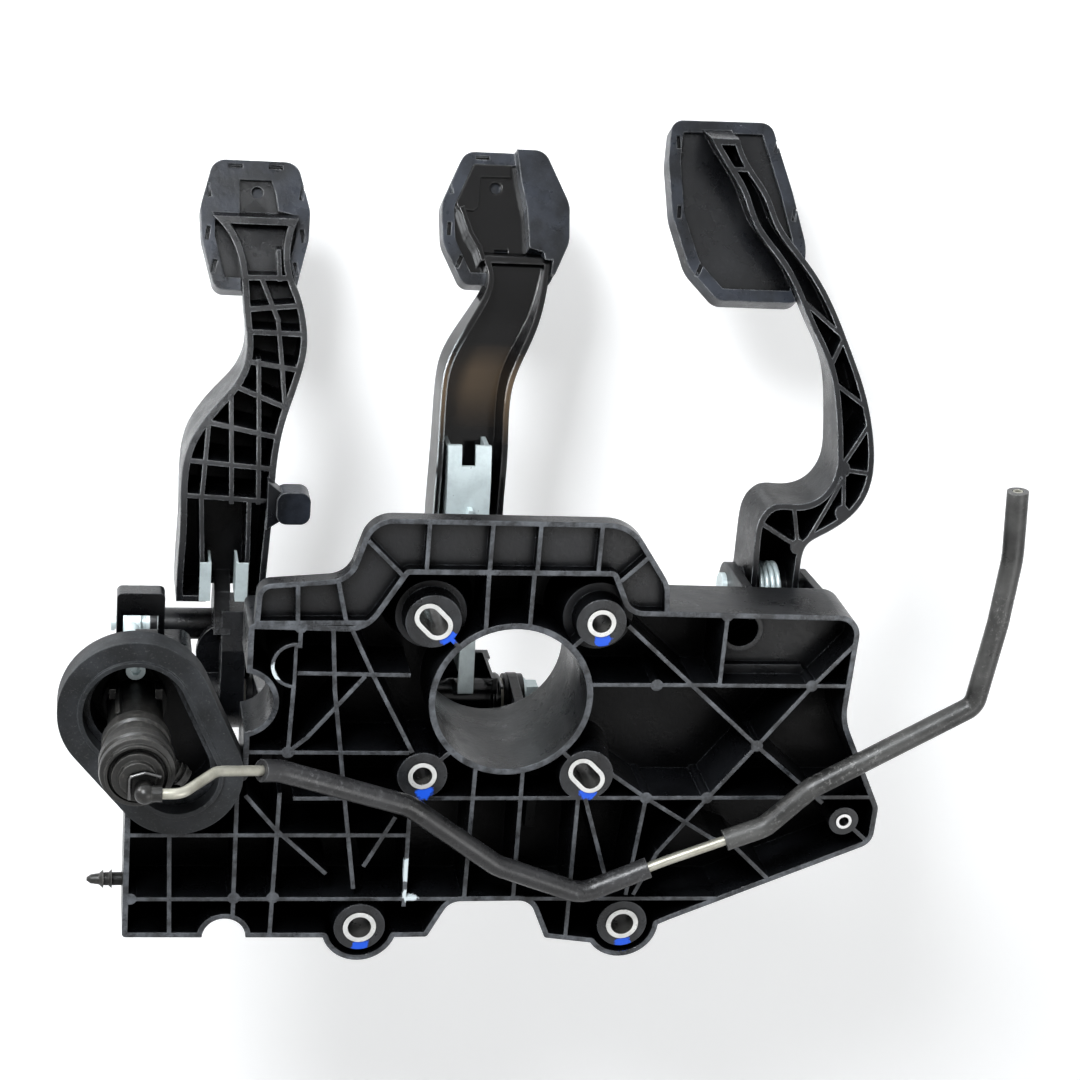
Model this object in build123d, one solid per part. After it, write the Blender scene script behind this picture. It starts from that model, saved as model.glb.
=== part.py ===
from build123d import *
import math
import os

# Pedal box: ribbed bracket, clutch, brake and accelerator pedals, clutch hydraulics.
# Millimetres. +Z up as fitted, -Y towards the bulkhead, +X the clutch side.
# The origin is the centre of the booster bore in the bracket's front plane.

os.makedirs("parts", exist_ok=True)

# Bracket sizes
WALL = 2.6
RIB = 2.0
KNOT_R = 3.0
REAR_RIB = 2.4
REAR_RIB_HEIGHT = 12.0
FLOOR_T = 3.0
BODY_DEPTH = 34.0
SHALLOW_FLOOR_Y = 16.0
SHALLOW_EDGE_X = -101.0
SHALLOW_EDGE_Z = -8.0
FLANGE_DEPTH = 8.0
FLANGE_FLOOR_T = 2.5
BOOSTER_BORE_R = 36.5
BOOSTER_TUBE_T = 3.0
BOOSTER_TUBE_DEPTH = 68.0
STUD_SPACING = 80.0
UPPER_BOLT_X = 65.5
UPPER_BOLT_Z = 122.0
CHEEK_T = 5.0
CHEEK_R = 13.0

# Sleeves moulded into the bracket
SLEEVE_BORE_R = 4.7
SLEEVE_T = 2.2
SLOT_TRAVEL = 6.4
UPPER_SLEEVE_BORE_R = 5.7
UPPER_SLEEVE_T = 2.4
SLEEVE_PROUD = 0.6

# Clearances
SHAFT_CLEARANCE = 0.05
PISTON_CLEARANCE = 0.05
CYLINDER_HOLE_CLEARANCE = 0.4
PIPE_SLEEVE_CLEARANCE = 0.3

# Main pivot, shared by clutch and brake
PIVOT_Y = 100.0
PIVOT_Z = 45.0
PIVOT_R = 5.0
CLUTCH_HUB_X = (119.9, 144.1)
BRAKE_HUB_X = (-12.5, 32.5)
HUB_R = 16.0
BUSH_T = 2.5
BUSH_FLANGE_T = 1.5
BUSH_FLANGE_R = 11.0
CHEEK_BOSS_R = 12.5
END_PLAY = 0.5
BOLT_HEAD_R = 9.2
BOLT_HEAD_H = 6.5
BOLT_WASHER_R = 11.0
BOLT_WASHER_T = 1.5
NUT_H = 6.5
BOLT_OVERHANG = 3.5

# Accelerator pivot
ACC_PIVOT_Y = 74.0
ACC_PIVOT_Z = -30.0
ACC_PIVOT_R = 4.0
ACC_HUB_X = (-152.0, -126.0)
ACC_HUB_R = 10.0
ACC_END_R = 18.0
ACC_BUSH_T = 2.0
ACC_OUTER_EAR = (-161.0, -157.0)
ACC_INNER_EAR = (-124.0, -119.0)
PIN_HEAD_R = 6.5
PIN_HEAD_T = 2.5
PIN_OVERHANG = 4.0
CLIP_GAP = 0.6
CLIP_GROOVE_W = 1.4
CLIP_GROOVE_R = 3.2
CLIP_T = 1.2
CLIP_R = 6.2

# Clutch hydraulics
CYL_X = 176.0
CYL_Z = 8.5
CYL_BORE_R = 8.6
CYL_R = 12.8
CYL_FRONT_R = 15.5
CYL_FRONT_Y = -48.0
CYL_REAR_Y = 52.0
CAP_R = 17.0
CAP_LENGTH = 18.0
HOUSING_FLOOR_Y = 20.0
HOUSING_FLOOR_T = 4.0
HOUSING_DEPTH = 32.0
SEAL_LARGE = (176.0, 4.0, 35.5)
SEAL_SMALL = (156.0, 36.0, 30.5)
SEAL_BAND = 11.5
SEAL_T = 8.0
SEAL_INSET = 1.5
SKIRT_DEPTH = 6.0
TUB_INSET = 12.0
TUB_WALL = 3.0
TUB_FRONT_Y = 5.0
ROD_PIN_Y = 108.0
ROD_PIN_R = 4.0
CLUTCH_DISC = (127.5, 19.0, 16.5)
ROD_R = 3.6
ROD_BALL_R = 4.6
PISTON_FRONT_Y = 14.0
PISTON_REAR_Y = 46.0
PISTON_RECESS_R = 6.2
PISTON_RECESS_DEPTH = 9.0

# Pipe
PIPE_R = 2.4
PIPE_T = 0.8
PIPE_SLEEVE_R = 5.2
UNION_LENGTH = 5.5
UNION_Z = 12.5

# Pads
PLATE_T = 3.0
PAD_T = 9.0
PAD_LIP_T = 1.6
PAD_EDGE = 2.4
PAD_LIP_W = 6.5
PAD_GAP = 0.4
WING_HEIGHT = 9.0
PAD_TILT = 30.0
ACC_PAD_TILT = 34.0
PAD_HOLE_R = 3.0

# Return springs
SPRING_GAP = 0.3
ACC_WIRE_R = 1.3
BRAKE_WIRE_R = 0.8
BRAKE_TUBE_R = 10.5

# Small bracket features
INSERT_X = -173.0
INSERT_Z = 65.6
INSERT_R = 4.0
CUP_X = -112.0
CUP_Z = -32.0
CUP_R = 8.5
CUP_DEPTH = 31.0
CYL_SCREW_R = 2.5
CYL_EAR_R = 5.5
KNOB_X = 173.0

# Booster rod pin
BRAKE_PIN_Y = 106.0
BRAKE_PIN_R = 5.0
BRAKE_PIN_X = (-3.6, 8.0)
ROD_SHEET_X = (9.0, 11.4)

# Derived
UNION_Y = CYL_FRONT_Y - CAP_LENGTH - UNION_LENGTH
CYLINDER_SCREW_Z = (CYL_Z - 18.0, CYL_Z + 18.0)
HALF_STUD = STUD_SPACING / 2
SLEEVE_R = SLEEVE_BORE_R + SLEEVE_T
UPPER_SLEEVE_R = UPPER_SLEEVE_BORE_R + UPPER_SLEEVE_T
PIVOT_HOLE_R = PIVOT_R + SHAFT_CLEARANCE
BUSH_R = PIVOT_HOLE_R + BUSH_T
ACC_HOLE_R = ACC_PIVOT_R + SHAFT_CLEARANCE
FLOOR_Y = BODY_DEPTH - FLOOR_T
ACC_BUSH_R = ACC_HOLE_R + ACC_BUSH_T
CHEEKS = {
    "clutch outer": (146.0, 146.0 + CHEEK_T),
    "clutch inner": (110.0, 110.0 + CHEEK_T),
    "brake left": (36.5, 36.5 + CHEEK_T),
    "brake right": (-21.5, -21.5 + CHEEK_T),
}
BRAKE_BOSS_REACH = BUSH_FLANGE_T + END_PLAY
CHEEK_BOSSES = {
    "clutch inner": (CHEEKS["clutch inner"][0] - 4, CLUTCH_HUB_X[0] - BUSH_FLANGE_T - 0.4),
    "brake left": (BRAKE_HUB_X[1] + BRAKE_BOSS_REACH, CHEEKS["brake left"][1] + 3),
    "brake right": (CHEEKS["brake right"][0] - 3, BRAKE_HUB_X[0] - BRAKE_BOSS_REACH),
}
NUT_FACE = CHEEK_BOSSES["brake right"][0] - BOLT_WASHER_T
NUT_X = (NUT_FACE - NUT_H, NUT_FACE)


# Shapes used by several pieces
def extrude_y(sketch, y0, y1):
    """A front-view sketch, drawn in X and Z, made solid from y0 to y1."""
    return extrude(Plane.XZ.offset(-y0) * sketch, amount=-(y1 - y0))


def extrude_x(sketch, x0, x1):
    """A side-view sketch, drawn in Y and Z, made solid from x0 to x1."""
    return extrude(Plane.YZ.offset(x0) * sketch, amount=x1 - x0)


def round_y(x, z, radius, y0, y1):
    return extrude_y(Pos(x, z) * Circle(radius), y0, y1)


def round_x(y, z, radius, x0, x1):
    return extrude_x(Pos(y, z) * Circle(radius), x0, x1)


def polygon(*points):
    return make_face(Polyline(*points, close=True))


def rounded(*corners):
    """A polygon whose corners each carry their own radius, as (x, y, radius)."""
    outline = polygon(*[(x, y) for x, y, _ in corners])
    for radius in sorted({r for _, _, r in corners if r > 0}):
        wanted = [(x, y) for x, y, r in corners if r == radius]
        found = [
            v
            for v in outline.vertices()
            if any(math.hypot(v.X - x, v.Y - y) < 0.01 for x, y in wanted)
        ]
        outline = fillet(found, radius)
    return outline


def strip(start, end, width):
    """A thin rectangle between two points of a sketch."""
    dx = end[0] - start[0]
    dy = end[1] - start[1]
    middle = Pos((start[0] + end[0]) / 2, (start[1] + end[1]) / 2)
    turn = Rot(0, 0, math.degrees(math.atan2(dy, dx)))
    return middle * turn * Rectangle(math.hypot(dx, dy) + width, width)


def strips(lines, width):
    """Every bent line of points drawn as thin rectangles."""
    pieces = []
    for line in lines:
        for start, end in zip(line, line[1:]):
            pieces.append(strip(start, end, width))
    return Sketch() + pieces


def between(left, right):
    """The face between two smooth curves."""
    one = Spline(*left)
    two = Spline(*right)
    return make_face(one + Line(one @ 1, two @ 1) + two + Line(two @ 0, one @ 0))


def shifted(points, distance):
    """A line of points moved sideways, to the left of its own direction."""
    moved = []
    last = len(points) - 1
    for i, (x, y) in enumerate(points):
        before = points[max(i - 1, 0)]
        after = points[min(i + 1, last)]
        dx = after[0] - before[0]
        dy = after[1] - before[1]
        length = math.hypot(dx, dy)
        moved.append((x - dy / length * distance, y + dx / length * distance))
    return moved


def window(x0, x1, z0, z1):
    return Pos((x0 + x1) / 2, (z0 + z1) / 2) * Rectangle(x1 - x0, z1 - z0)


def cone_y(x, z, front_r, rear_r, y0, y1):
    profile = polygon((0, y0), (front_r, y0), (rear_r, y1), (0, y1))
    return Pos(x, 0, z) * revolve(profile, Axis.Y)


def pad_frame(origin, tilt):
    """The plane of a pad, turned up by tilt from facing the driver."""
    turn = math.radians(tilt)
    return Plane(origin=origin, x_dir=(1, 0, 0), z_dir=(0, math.cos(turn), math.sin(turn)))


def write(node, shape):
    solids = Compound(children=list(shape.solids()))
    export_step(solids, f"parts/{node}.step")


# Bracket
def front_outline():
    """The bracket's wall as seen from the bulkhead, without the cylinder housing."""
    outline = rounded(
        (125.5, -38, 3),
        (72, -37, 14),
        (54.5, -66, 4),
        (-45, -66.5, 4),
        (-54, -46.5, 9),
        (-168, -45, 11),
        (-166.5, 10, 30),
        (-190, 58, 8),
        (-189.5, 78, 9),
        (-90, 120, 6),
        (-60, 134, 4),
        (-27, 129.5, 2),
        (-18, 108.5, 9),
        (22, 108.5, 9),
        (32, 128, 2),
        (60, 128, 2),
        (92, 127.5, 2),
        (179.5, 126, 2),
        (179.5, 40, 0),
        (125.5, 40, 0),
    )
    for side in (-1, 1):
        outline += Pos(side * UPPER_BOLT_X, UPPER_BOLT_Z) * Circle(18.5)
    outline -= Pos(128, 2) * Circle(15.5)
    outline -= Pos(131, 127) * Circle(10.5)
    return outline


def flange_outline():
    """The shallow front flange that reaches out over the wall on the hump."""
    return rounded(
        (123, -37, 0),
        (122, -57.5, 7),
        (81, -61, 12),
        (72, -90.8, 14),
        (-50, -90.5, 22),
        (-71, -60, 16),
        (-73, -40, 0),
    )


def seal_hull(inset):
    """The tear-drop of the bulkhead seal, drawn in by inset."""
    circles = [
        (Pos(x, z) * Circle(r - inset)).edges() for x, z, r in (SEAL_LARGE, SEAL_SMALL)
    ]
    return make_hull(circles[0] + circles[1])


DEEP_RIBS = [
    [(101, -13.2), (50, -12.5)],
    [(127, 27.6), (48, 28)],
    [(100, 52), (-100, 52.4)],
    [(180, 71), (45, 72)],
    [(180, 105.3), (-117, 108.6)],
    [(159, 55), (157, 128)],
    [(127.6, 40), (127, 128)],
    [(101.5, -58), (101.5, -27)],
    [(103.5, -6), (104.6, 27.6)],
    [(107.5, 50), (109, 128)],
    [(86.7, -38), (84.2, -4.7), (79.5, 29.6), (76, 56), (69.8, 100)],
    [(45, 40), (44.5, 110)],
    [(14.6, 37), (15, 110)],
    [(-8.5, 37), (-9.4, 110)],
    [(-37, 50), (-37.5, 131)],
    [(-39.7, 50), (-56, 100)],
    [(79, -38), (67, -13), (46, 27)],
    [(71, -11), (96, 20), (104, 27)],
    [(123, 51), (109, 68), (84, 92)],
    [(52, 63), (65, 88)],
    [(15.7, -68), (15, -36)],
    [(-5.8, -68), (-5.8, -36)],
    [(-54, -38), (-123.5, 24.3), (-160, 55)],
    [(-38, -8), (-170, -8.4)],
    [(-147.3, -7.5), (-123.5, 24.3), (-101.5, 53), (-79.4, 82.7), (-70, 105)],
    [(-42, 32), (-70.8, 52.4), (-106, 74.6), (-118.8, 79.7), (-139, 99)],
    [(-100, 52.4), (-186, 52.4)],
    [(-70.8, 52.4), (-66, 105)],
    [(-178, 69.5), (-190, 80)],
    [(0, 0), (HALF_STUD, HALF_STUD)],
    [(0, 0), (-HALF_STUD, HALF_STUD)],
    [(0, 0), (HALF_STUD, -HALF_STUD)],
    [(0, 0), (-HALF_STUD, -HALF_STUD)],
]
SHALLOW_RIBS = [
    [(SHALLOW_EDGE_X, -48), (SHALLOW_EDGE_X, SHALLOW_EDGE_Z)],
    [(-172, -37), (-147.3, -7.5)],
]
FLANGE_RIBS = [
    [(45, -92), (45, -62)],
    [(15.5, -92), (15.5, -62)],
    [(-7, -92), (-7, -62)],
    [(-36, -92), (-36, -62)],
    [(72, -79), (55, -62)],
    [(-64, -78), (-48, -62)],
    [(104, -60), (103, -36)],
    [(86, -62), (80, -36)],
]
RIB_KNOTS = [
    (-70.1, -8),
    (-147.3, -8),
    (-123.5, 24.3),
    (-70.8, 52.4),
    (-101.5, 52.4),
    (127, 105.3),
    (108.3, 105.3),
    (176, 105.3),
    (104.6, 27.6),
    (101.5, -36.5),
    (-101, -44.5),
    (102.5, -38),
]


def bracket_shell():
    """Walls, ribs and floors of the bracket, open towards the bulkhead."""
    outline = front_outline()
    wall = outline - offset(outline, -WALL)
    shallow_side = window(-250, SHALLOW_EDGE_X, -120, SHALLOW_EDGE_Z)
    deep = outline - shallow_side
    shallow = outline & shallow_side
    knots = Sketch() + [Pos(x, z) * Circle(KNOT_R) for x, z in RIB_KNOTS]
    deep_ribs = (strips(DEEP_RIBS, RIB) + knots) & deep
    shallow_ribs = (strips(SHALLOW_RIBS, RIB) + knots) & outline
    body = extrude_y(wall, 0, BODY_DEPTH)
    body += extrude_y(deep_ribs, 0, FLOOR_Y + 0.5)
    body += extrude_y(deep, FLOOR_Y, BODY_DEPTH)
    body += extrude_y(shallow_ribs & shallow_side, 0, SHALLOW_FLOOR_Y + 0.5)
    body += extrude_y(shallow, SHALLOW_FLOOR_Y, SHALLOW_FLOOR_Y + FLOOR_T)
    step_x = strip((SHALLOW_EDGE_X, -46), (SHALLOW_EDGE_X, SHALLOW_EDGE_Z), RIB)
    step_z = strip((SHALLOW_EDGE_X, SHALLOW_EDGE_Z), (-168, SHALLOW_EDGE_Z), RIB)
    body += extrude_y((step_x + step_z) & outline, 0, BODY_DEPTH)
    ledge = polygon(
        (-148, SHALLOW_EDGE_Z),
        (-144, SHALLOW_EDGE_Z - 6),
        (SHALLOW_EDGE_X, SHALLOW_EDGE_Z - 6),
        (SHALLOW_EDGE_X, SHALLOW_EDGE_Z),
    )
    body += extrude_y(ledge, SHALLOW_FLOOR_Y - 4, SHALLOW_FLOOR_Y + 1)
    return body


def front_flange():
    """The hump's flange with its rim and short ribs."""
    outline = flange_outline()
    inside = offset(front_outline(), -WALL / 2)
    band = outline - inside
    rim = (outline - offset(outline, -2.4, kind=Kind.INTERSECTION)) - inside
    ribs = (strips(FLANGE_RIBS, RIB) & outline) - inside
    flange = extrude_y(band, FLANGE_DEPTH - FLANGE_FLOOR_T, FLANGE_DEPTH)
    flange += extrude_y(rim, 0, FLANGE_DEPTH)
    flange += extrude_y(ribs, 0, FLANGE_DEPTH - FLANGE_FLOOR_T + 0.5)
    return flange


def stud_bosses():
    bosses = []
    for x in (-HALF_STUD, HALF_STUD):
        for z in (-HALF_STUD, HALF_STUD):
            slotted = x * z < 0
            front_r = 13.2 if slotted else 12.0
            bosses.append(cone_y(x, z, front_r, front_r + 3, 0, BODY_DEPTH))
    for side in (-1, 1):
        collar = cone_y(side * HALF_STUD, -HALF_STUD, 17, 23, 9, BODY_DEPTH)
        bosses.append(collar & extrude_y(front_outline(), 0, BODY_DEPTH))
        bosses.append(
            cone_y(side * UPPER_BOLT_X, UPPER_BOLT_Z, 12.5, 16.0, 0, BODY_DEPTH)
        )
    bosses.append(round_y(INSERT_X, INSERT_Z, 7.5, 0, BODY_DEPTH))
    bosses.append(round_y(CUP_X, CUP_Z, CUP_R + 2.5, SHALLOW_FLOOR_Y - 4, CUP_DEPTH + 2.5))
    return bosses


def d_pocket():
    """The small D-shaped wall beside the clutch pivot."""
    shape = Pos(103, -17) * Circle(11.5)
    shape = shape & window(102.5, 120, -40, 0)
    ring = shape - offset(shape, -1.6, kind=Kind.INTERSECTION)
    return extrude_y(ring, 0, FLOOR_Y + 0.5)


def cylinder_housing():
    """The seal's flange and the smaller tub that the master cylinder bolts into."""
    inner = seal_hull(TUB_INSET + TUB_WALL)
    shoulder = rounded((150, -21, 6), (176, -21, 0), (176, 4, 0), (150, 4, 0))
    outer = seal_hull(TUB_INSET) + shoulder
    cup = extrude_y(seal_hull(SEAL_INSET) - inner, 0, SKIRT_DEPTH)
    cup += extrude_y(outer - inner, TUB_FRONT_Y, HOUSING_DEPTH)
    cup += extrude_y(outer, HOUSING_FLOOR_Y, HOUSING_FLOOR_Y + HOUSING_FLOOR_T)
    loop = rounded((163, -44, 2.5), (185, -44, 2.5), (185, -10, 0), (163, -10, 0))
    loop -= window(166, 182, -33, -10)
    cup += extrude_y(loop - inner, HOUSING_FLOOR_Y, HOUSING_FLOOR_Y + 10)
    return cup


def cheek(name, base, lower_front):
    """A pivot cheek: base is its Z range on the floor, lower_front a point below."""
    x0, x1 = CHEEKS[name]
    bottom, top = base
    arm = polygon(
        (FLOOR_Y - 8, bottom),
        lower_front,
        (PIVOT_Y - 2, PIVOT_Z - CHEEK_R),
        (PIVOT_Y + 4, PIVOT_Z),
        (PIVOT_Y - 2, PIVOT_Z + CHEEK_R),
        (FLOOR_Y + 40, top),
        (FLOOR_Y - 8, top),
    )
    arm += Pos(PIVOT_Y, PIVOT_Z) * Circle(CHEEK_R)
    return extrude_x(arm, x0, x1)


def pivot_cheeks():
    pieces = [
        cheek("clutch outer", (24, 60), (50, 31)),
        cheek("clutch inner", (18, 76), (60, 24)),
        cheek("brake left", (26, 80), (72, 30)),
        cheek("brake right", (30, 80), (72, 36)),
        round_x(PIVOT_Y, PIVOT_Z, CHEEK_BOSS_R, *CHEEK_BOSSES["clutch inner"]),
        round_x(PIVOT_Y, PIVOT_Z, CHEEK_BOSS_R, *CHEEK_BOSSES["brake left"]),
        round_x(PIVOT_Y, PIVOT_Z, CHEEK_BOSS_R, *CHEEK_BOSSES["brake right"]),
        extrude_x(window(FLOOR_Y, 78, 76, 79), -20, 40),
        extrude_x(window(FLOOR_Y, 70, 70, 73), 111, 147),
        extrude_x(polygon((32, 79), (32, 104), (60, 79)), 8, 11),
        extrude_x(polygon((32, 72), (32, 100), (56, 72)), 126, 129),
    ]
    for span, end_r in ((ACC_OUTER_EAR, 9.0), (ACC_INNER_EAR, 12.0)):
        ear = polygon(
            (SHALLOW_FLOOR_Y, -43),
            (ACC_PIVOT_Y, ACC_PIVOT_Z - end_r),
            (ACC_PIVOT_Y, ACC_PIVOT_Z + end_r),
            (SHALLOW_FLOOR_Y, -2),
        )
        ear += Pos(ACC_PIVOT_Y, ACC_PIVOT_Z) * Circle(end_r)
        pieces.append(extrude_x(ear, *span))
    return pieces


def rear_ribs():
    """Ribs behind the floor, between the bosses and the cheeks."""
    lines = [
        [(100, 60), (70, 118)],
        [(60, 110), (40, 50)],
        [(-60, 110), (-40, 50)],
        [(-45, 40), (-125, 24)],
        [(-125, 24), (-170, 60)],
        [(-100, -5), (-66, 112)],
        [(45, 40), (108, 30)],
        [(45, -40), (108, -20)],
        [(108, -20), (108, 60)],
        [(-60, 112), (60, 112)],
    ]
    inside = offset(front_outline(), -1)
    return extrude_y(strips(lines, REAR_RIB) & inside, BODY_DEPTH - 1, BODY_DEPTH + REAR_RIB_HEIGHT)


def pedal_bracket():
    body = bracket_shell()
    body += front_flange()
    body += stud_bosses()
    body += d_pocket()
    body += rear_ribs()
    tube_r = BOOSTER_BORE_R + BOOSTER_TUBE_T
    body += round_y(0, 0, tube_r, 0, BOOSTER_TUBE_DEPTH)
    body -= extrude_y(seal_hull(TUB_INSET + TUB_WALL), -1, BODY_DEPTH + 15)
    body += cylinder_housing()
    body += pivot_cheeks()
    cuts = [
        round_y(0, 0, BOOSTER_BORE_R, -1, BOOSTER_TUBE_DEPTH + 1),
        round_x(PIVOT_Y, PIVOT_Z, PIVOT_HOLE_R, -60, 170),
        round_x(ACC_PIVOT_Y, ACC_PIVOT_Z, ACC_HOLE_R, -170, -100),
        round_y(CYL_X, CYL_Z, CYL_R + CYLINDER_HOLE_CLEARANCE, 10, BODY_DEPTH),
        round_y(INSERT_X, INSERT_Z, INSERT_R, -1, BODY_DEPTH + 1),
        round_y(CUP_X, CUP_Z, CUP_R, 0, CUP_DEPTH),
    ]
    for z in CYLINDER_SCREW_Z:
        cuts.append(round_y(CYL_X, z, CYL_SCREW_R, 10, 30))
    for sketch in round_sleeve_sketches(SLEEVE_R) + slotted_sleeve_sketches(SLEEVE_R):
        cuts.append(extrude_y(sketch, -1, BODY_DEPTH + 15))
    for side in (-1, 1):
        x = side * UPPER_BOLT_X
        cuts.append(round_y(x, UPPER_BOLT_Z, UPPER_SLEEVE_R, -1, BODY_DEPTH + 15))
    cuts.append(extrude_y(seal_hull(0) - seal_hull(SEAL_INSET), -1, SKIRT_DEPTH))
    return body - cuts


# Pieces fixed to the bracket
def round_sleeve_sketches(radius):
    return [
        Pos(side * HALF_STUD, side * HALF_STUD) * Circle(radius) for side in (-1, 1)
    ]


def slotted_sleeve_sketches(radius):
    """Slots that point at the bore's centre."""
    sketches = []
    for side in (-1, 1):
        slot = SlotCenterToCenter(SLOT_TRAVEL, 2 * radius)
        sketches.append(Pos(side * HALF_STUD, -side * HALF_STUD) * Rot(0, 0, -45) * slot)
    return sketches


def sleeve_pair(outer, bore):
    pair = [
        extrude_y(big - small, -SLEEVE_PROUD, BODY_DEPTH + SLEEVE_PROUD)
        for big, small in zip(outer, bore)
    ]
    return pair[0] + pair[1]


def round_stud_sleeves():
    return sleeve_pair(
        round_sleeve_sketches(SLEEVE_R), round_sleeve_sketches(SLEEVE_BORE_R)
    )


def slotted_stud_sleeves():
    return sleeve_pair(
        slotted_sleeve_sketches(SLEEVE_R), slotted_sleeve_sketches(SLEEVE_BORE_R)
    )


def upper_bolt_sleeves():
    places = [Pos(side * UPPER_BOLT_X, UPPER_BOLT_Z) for side in (-1, 1)]
    return sleeve_pair(
        [place * Circle(UPPER_SLEEVE_R) for place in places],
        [place * Circle(UPPER_SLEEVE_BORE_R) for place in places],
    )


def threaded_insert():
    body = round_y(INSERT_X, INSERT_Z, INSERT_R, -0.5, 14)
    return body - round_y(INSERT_X, INSERT_Z, 2.5, -1, 15)


def main_pivot_bolt():
    outer_face = CHEEKS["clutch outer"][1]
    washer_face = outer_face + BOLT_WASHER_T
    head = Pos(PIVOT_Y, PIVOT_Z) * RegularPolygon(BOLT_HEAD_R, 6)
    bolt = round_x(PIVOT_Y, PIVOT_Z, PIVOT_R, NUT_X[0] - BOLT_OVERHANG, outer_face)
    bolt += round_x(PIVOT_Y, PIVOT_Z, BOLT_WASHER_R, outer_face, washer_face)
    bolt += extrude_x(head, washer_face, washer_face + BOLT_HEAD_H)
    return bolt


def main_pivot_nut():
    hexagon = Pos(PIVOT_Y, PIVOT_Z) * RegularPolygon(BOLT_HEAD_R, 6)
    nut = extrude_x(hexagon, *NUT_X)
    nut += round_x(PIVOT_Y, PIVOT_Z, BOLT_WASHER_R - 0.5, NUT_X[1], NUT_X[1] + BOLT_WASHER_T)
    return nut - round_x(PIVOT_Y, PIVOT_Z, PIVOT_R, NUT_X[0] - 8, NUT_X[1] + 6)


def accelerator_pivot_pin():
    head = ACC_INNER_EAR[1]
    end = ACC_OUTER_EAR[0] - PIN_OVERHANG
    pin = round_x(ACC_PIVOT_Y, ACC_PIVOT_Z, ACC_PIVOT_R, end, head)
    pin += round_x(ACC_PIVOT_Y, ACC_PIVOT_Z, PIN_HEAD_R, head, head + PIN_HEAD_T)
    groove = ACC_OUTER_EAR[0] - CLIP_GAP
    return pin - clip_groove(ACC_PIVOT_Y, ACC_PIVOT_Z, groove - CLIP_GROOVE_W, groove)


def clip_groove(y, z, x0, x1):
    """The ring that a pin's clip sits in."""
    groove = round_x(y, z, CLIP_GROOVE_R + 1.8, x0, x1)
    return groove - round_x(y, z, CLIP_GROOVE_R, x0 - 1, x1 + 1)


def accelerator_pin_clip():
    ring = Circle(CLIP_R) - Circle(CLIP_GROOVE_R) - Pos(0, 5) * Rectangle(4, 8)
    face = ACC_OUTER_EAR[0] - CLIP_GAP - (CLIP_GROOVE_W - CLIP_T) / 2
    return extrude_x(Pos(ACC_PIVOT_Y, ACC_PIVOT_Z) * ring, face - CLIP_T, face)


def harness_clip():
    """A push-in peg with fins on the left edge."""
    peg = polygon((0, 0), (3.2, 0), (3.2, 8), (2.2, 15), (0.8, 17), (0, 17))
    shape = revolve(peg, Axis.Y)
    for height in (5, 9):
        fin = polygon((0, height), (4.6, height), (2.4, height + 2.4), (0, height + 2.4))
        shape += revolve(fin, Axis.Y)
    return Pos(179.5, 17, 103.5) * Rot(0, 0, -90) * shape


def bulkhead_seal():
    ring = seal_hull(0) - seal_hull(SEAL_BAND)
    lip = seal_hull(SEAL_BAND - 2.2) - seal_hull(SEAL_BAND)
    skirt = seal_hull(0) - seal_hull(2.0)
    seal = extrude_y(ring, -SEAL_T, 0)
    seal += extrude_y(lip, -SEAL_T - 1.6, -SEAL_T)
    seal += extrude_y(skirt - seal_hull(SEAL_INSET), -SEAL_T, SKIRT_DEPTH)
    return seal


def around_cylinder(*points):
    """A profile of (radius, y) turned about the master cylinder's axis."""
    return Pos(CYL_X, 0, CYL_Z) * revolve(polygon(*points), Axis.Y)


def master_cylinder_body():
    body = around_cylinder(
        (0, CYL_FRONT_Y),
        (CYL_FRONT_R, CYL_FRONT_Y),
        (CYL_FRONT_R, -40),
        (CYL_FRONT_R - 1.2, -39),
        (CYL_FRONT_R - 1.2, -36),
        (CYL_FRONT_R, -35),
        (CYL_FRONT_R, -28),
        (CYL_R, -22),
        (CYL_R, CYL_REAR_Y),
        (0, CYL_REAR_Y),
    )
    ears = [Pos(CYL_X, z) * Circle(CYL_EAR_R) for z in CYLINDER_SCREW_Z]
    flange = make_hull((ears[0] + ears[1] + Pos(CYL_X, CYL_Z) * Circle(15)).edges())
    body += extrude_y(flange, HOUSING_FLOOR_Y - 7, HOUSING_FLOOR_Y)
    for turn in (35, 145):
        rib = Pos(CYL_X, 0, CYL_Z) * Rot(0, turn, 0) * Pos(0, -5, CYL_R) * Box(2, 36, 4)
        body += rib
    for side in (-1, 1):
        body += Pos(CYL_X + side * 10.5, 4, CYL_Z - 11) * Box(3, 10, 5)
    body -= around_cylinder((0, -40), (CYL_BORE_R, -40), (CYL_BORE_R, 60), (0, 60))
    for z in CYLINDER_SCREW_Z:
        body -= round_y(CYL_X, z, CYL_SCREW_R, 0, 30)
    return body


def master_cylinder_cap():
    steps = [
        (0, 0),
        (CAP_R, 0),
        (CAP_R, 5),
        (CAP_R - 1.2, 6),
        (CAP_R - 1.2, 8),
        (CAP_R, 9),
        (CAP_R - 0.5, 11),
        (14.5, 11.8),
        (14.5, 14),
        (13.2, 14),
        (12.8, 12.5),
        (11.5, 12.5),
        (11.5, 16),
        (8.5, 16),
        (8, CAP_LENGTH),
        (0, CAP_LENGTH),
    ]
    return around_cylinder(*[(r, CYL_FRONT_Y - depth) for r, depth in steps])


def master_cylinder_screws():
    pair = []
    for z in CYLINDER_SCREW_Z:
        head_y = HOUSING_FLOOR_Y - 7
        screw = round_y(CYL_X, z, 4.5, head_y - 3.5, head_y)
        screw += round_y(CYL_X, z, CYL_SCREW_R, head_y, HOUSING_FLOOR_Y + HOUSING_FLOOR_T + 3)
        screw -= extrude_y(
            Pos(CYL_X, z) * RegularPolygon(2.4, 6), head_y - 3.6, head_y - 1.2
        )
        pair.append(screw)
    return pair[0] + pair[1]


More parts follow.
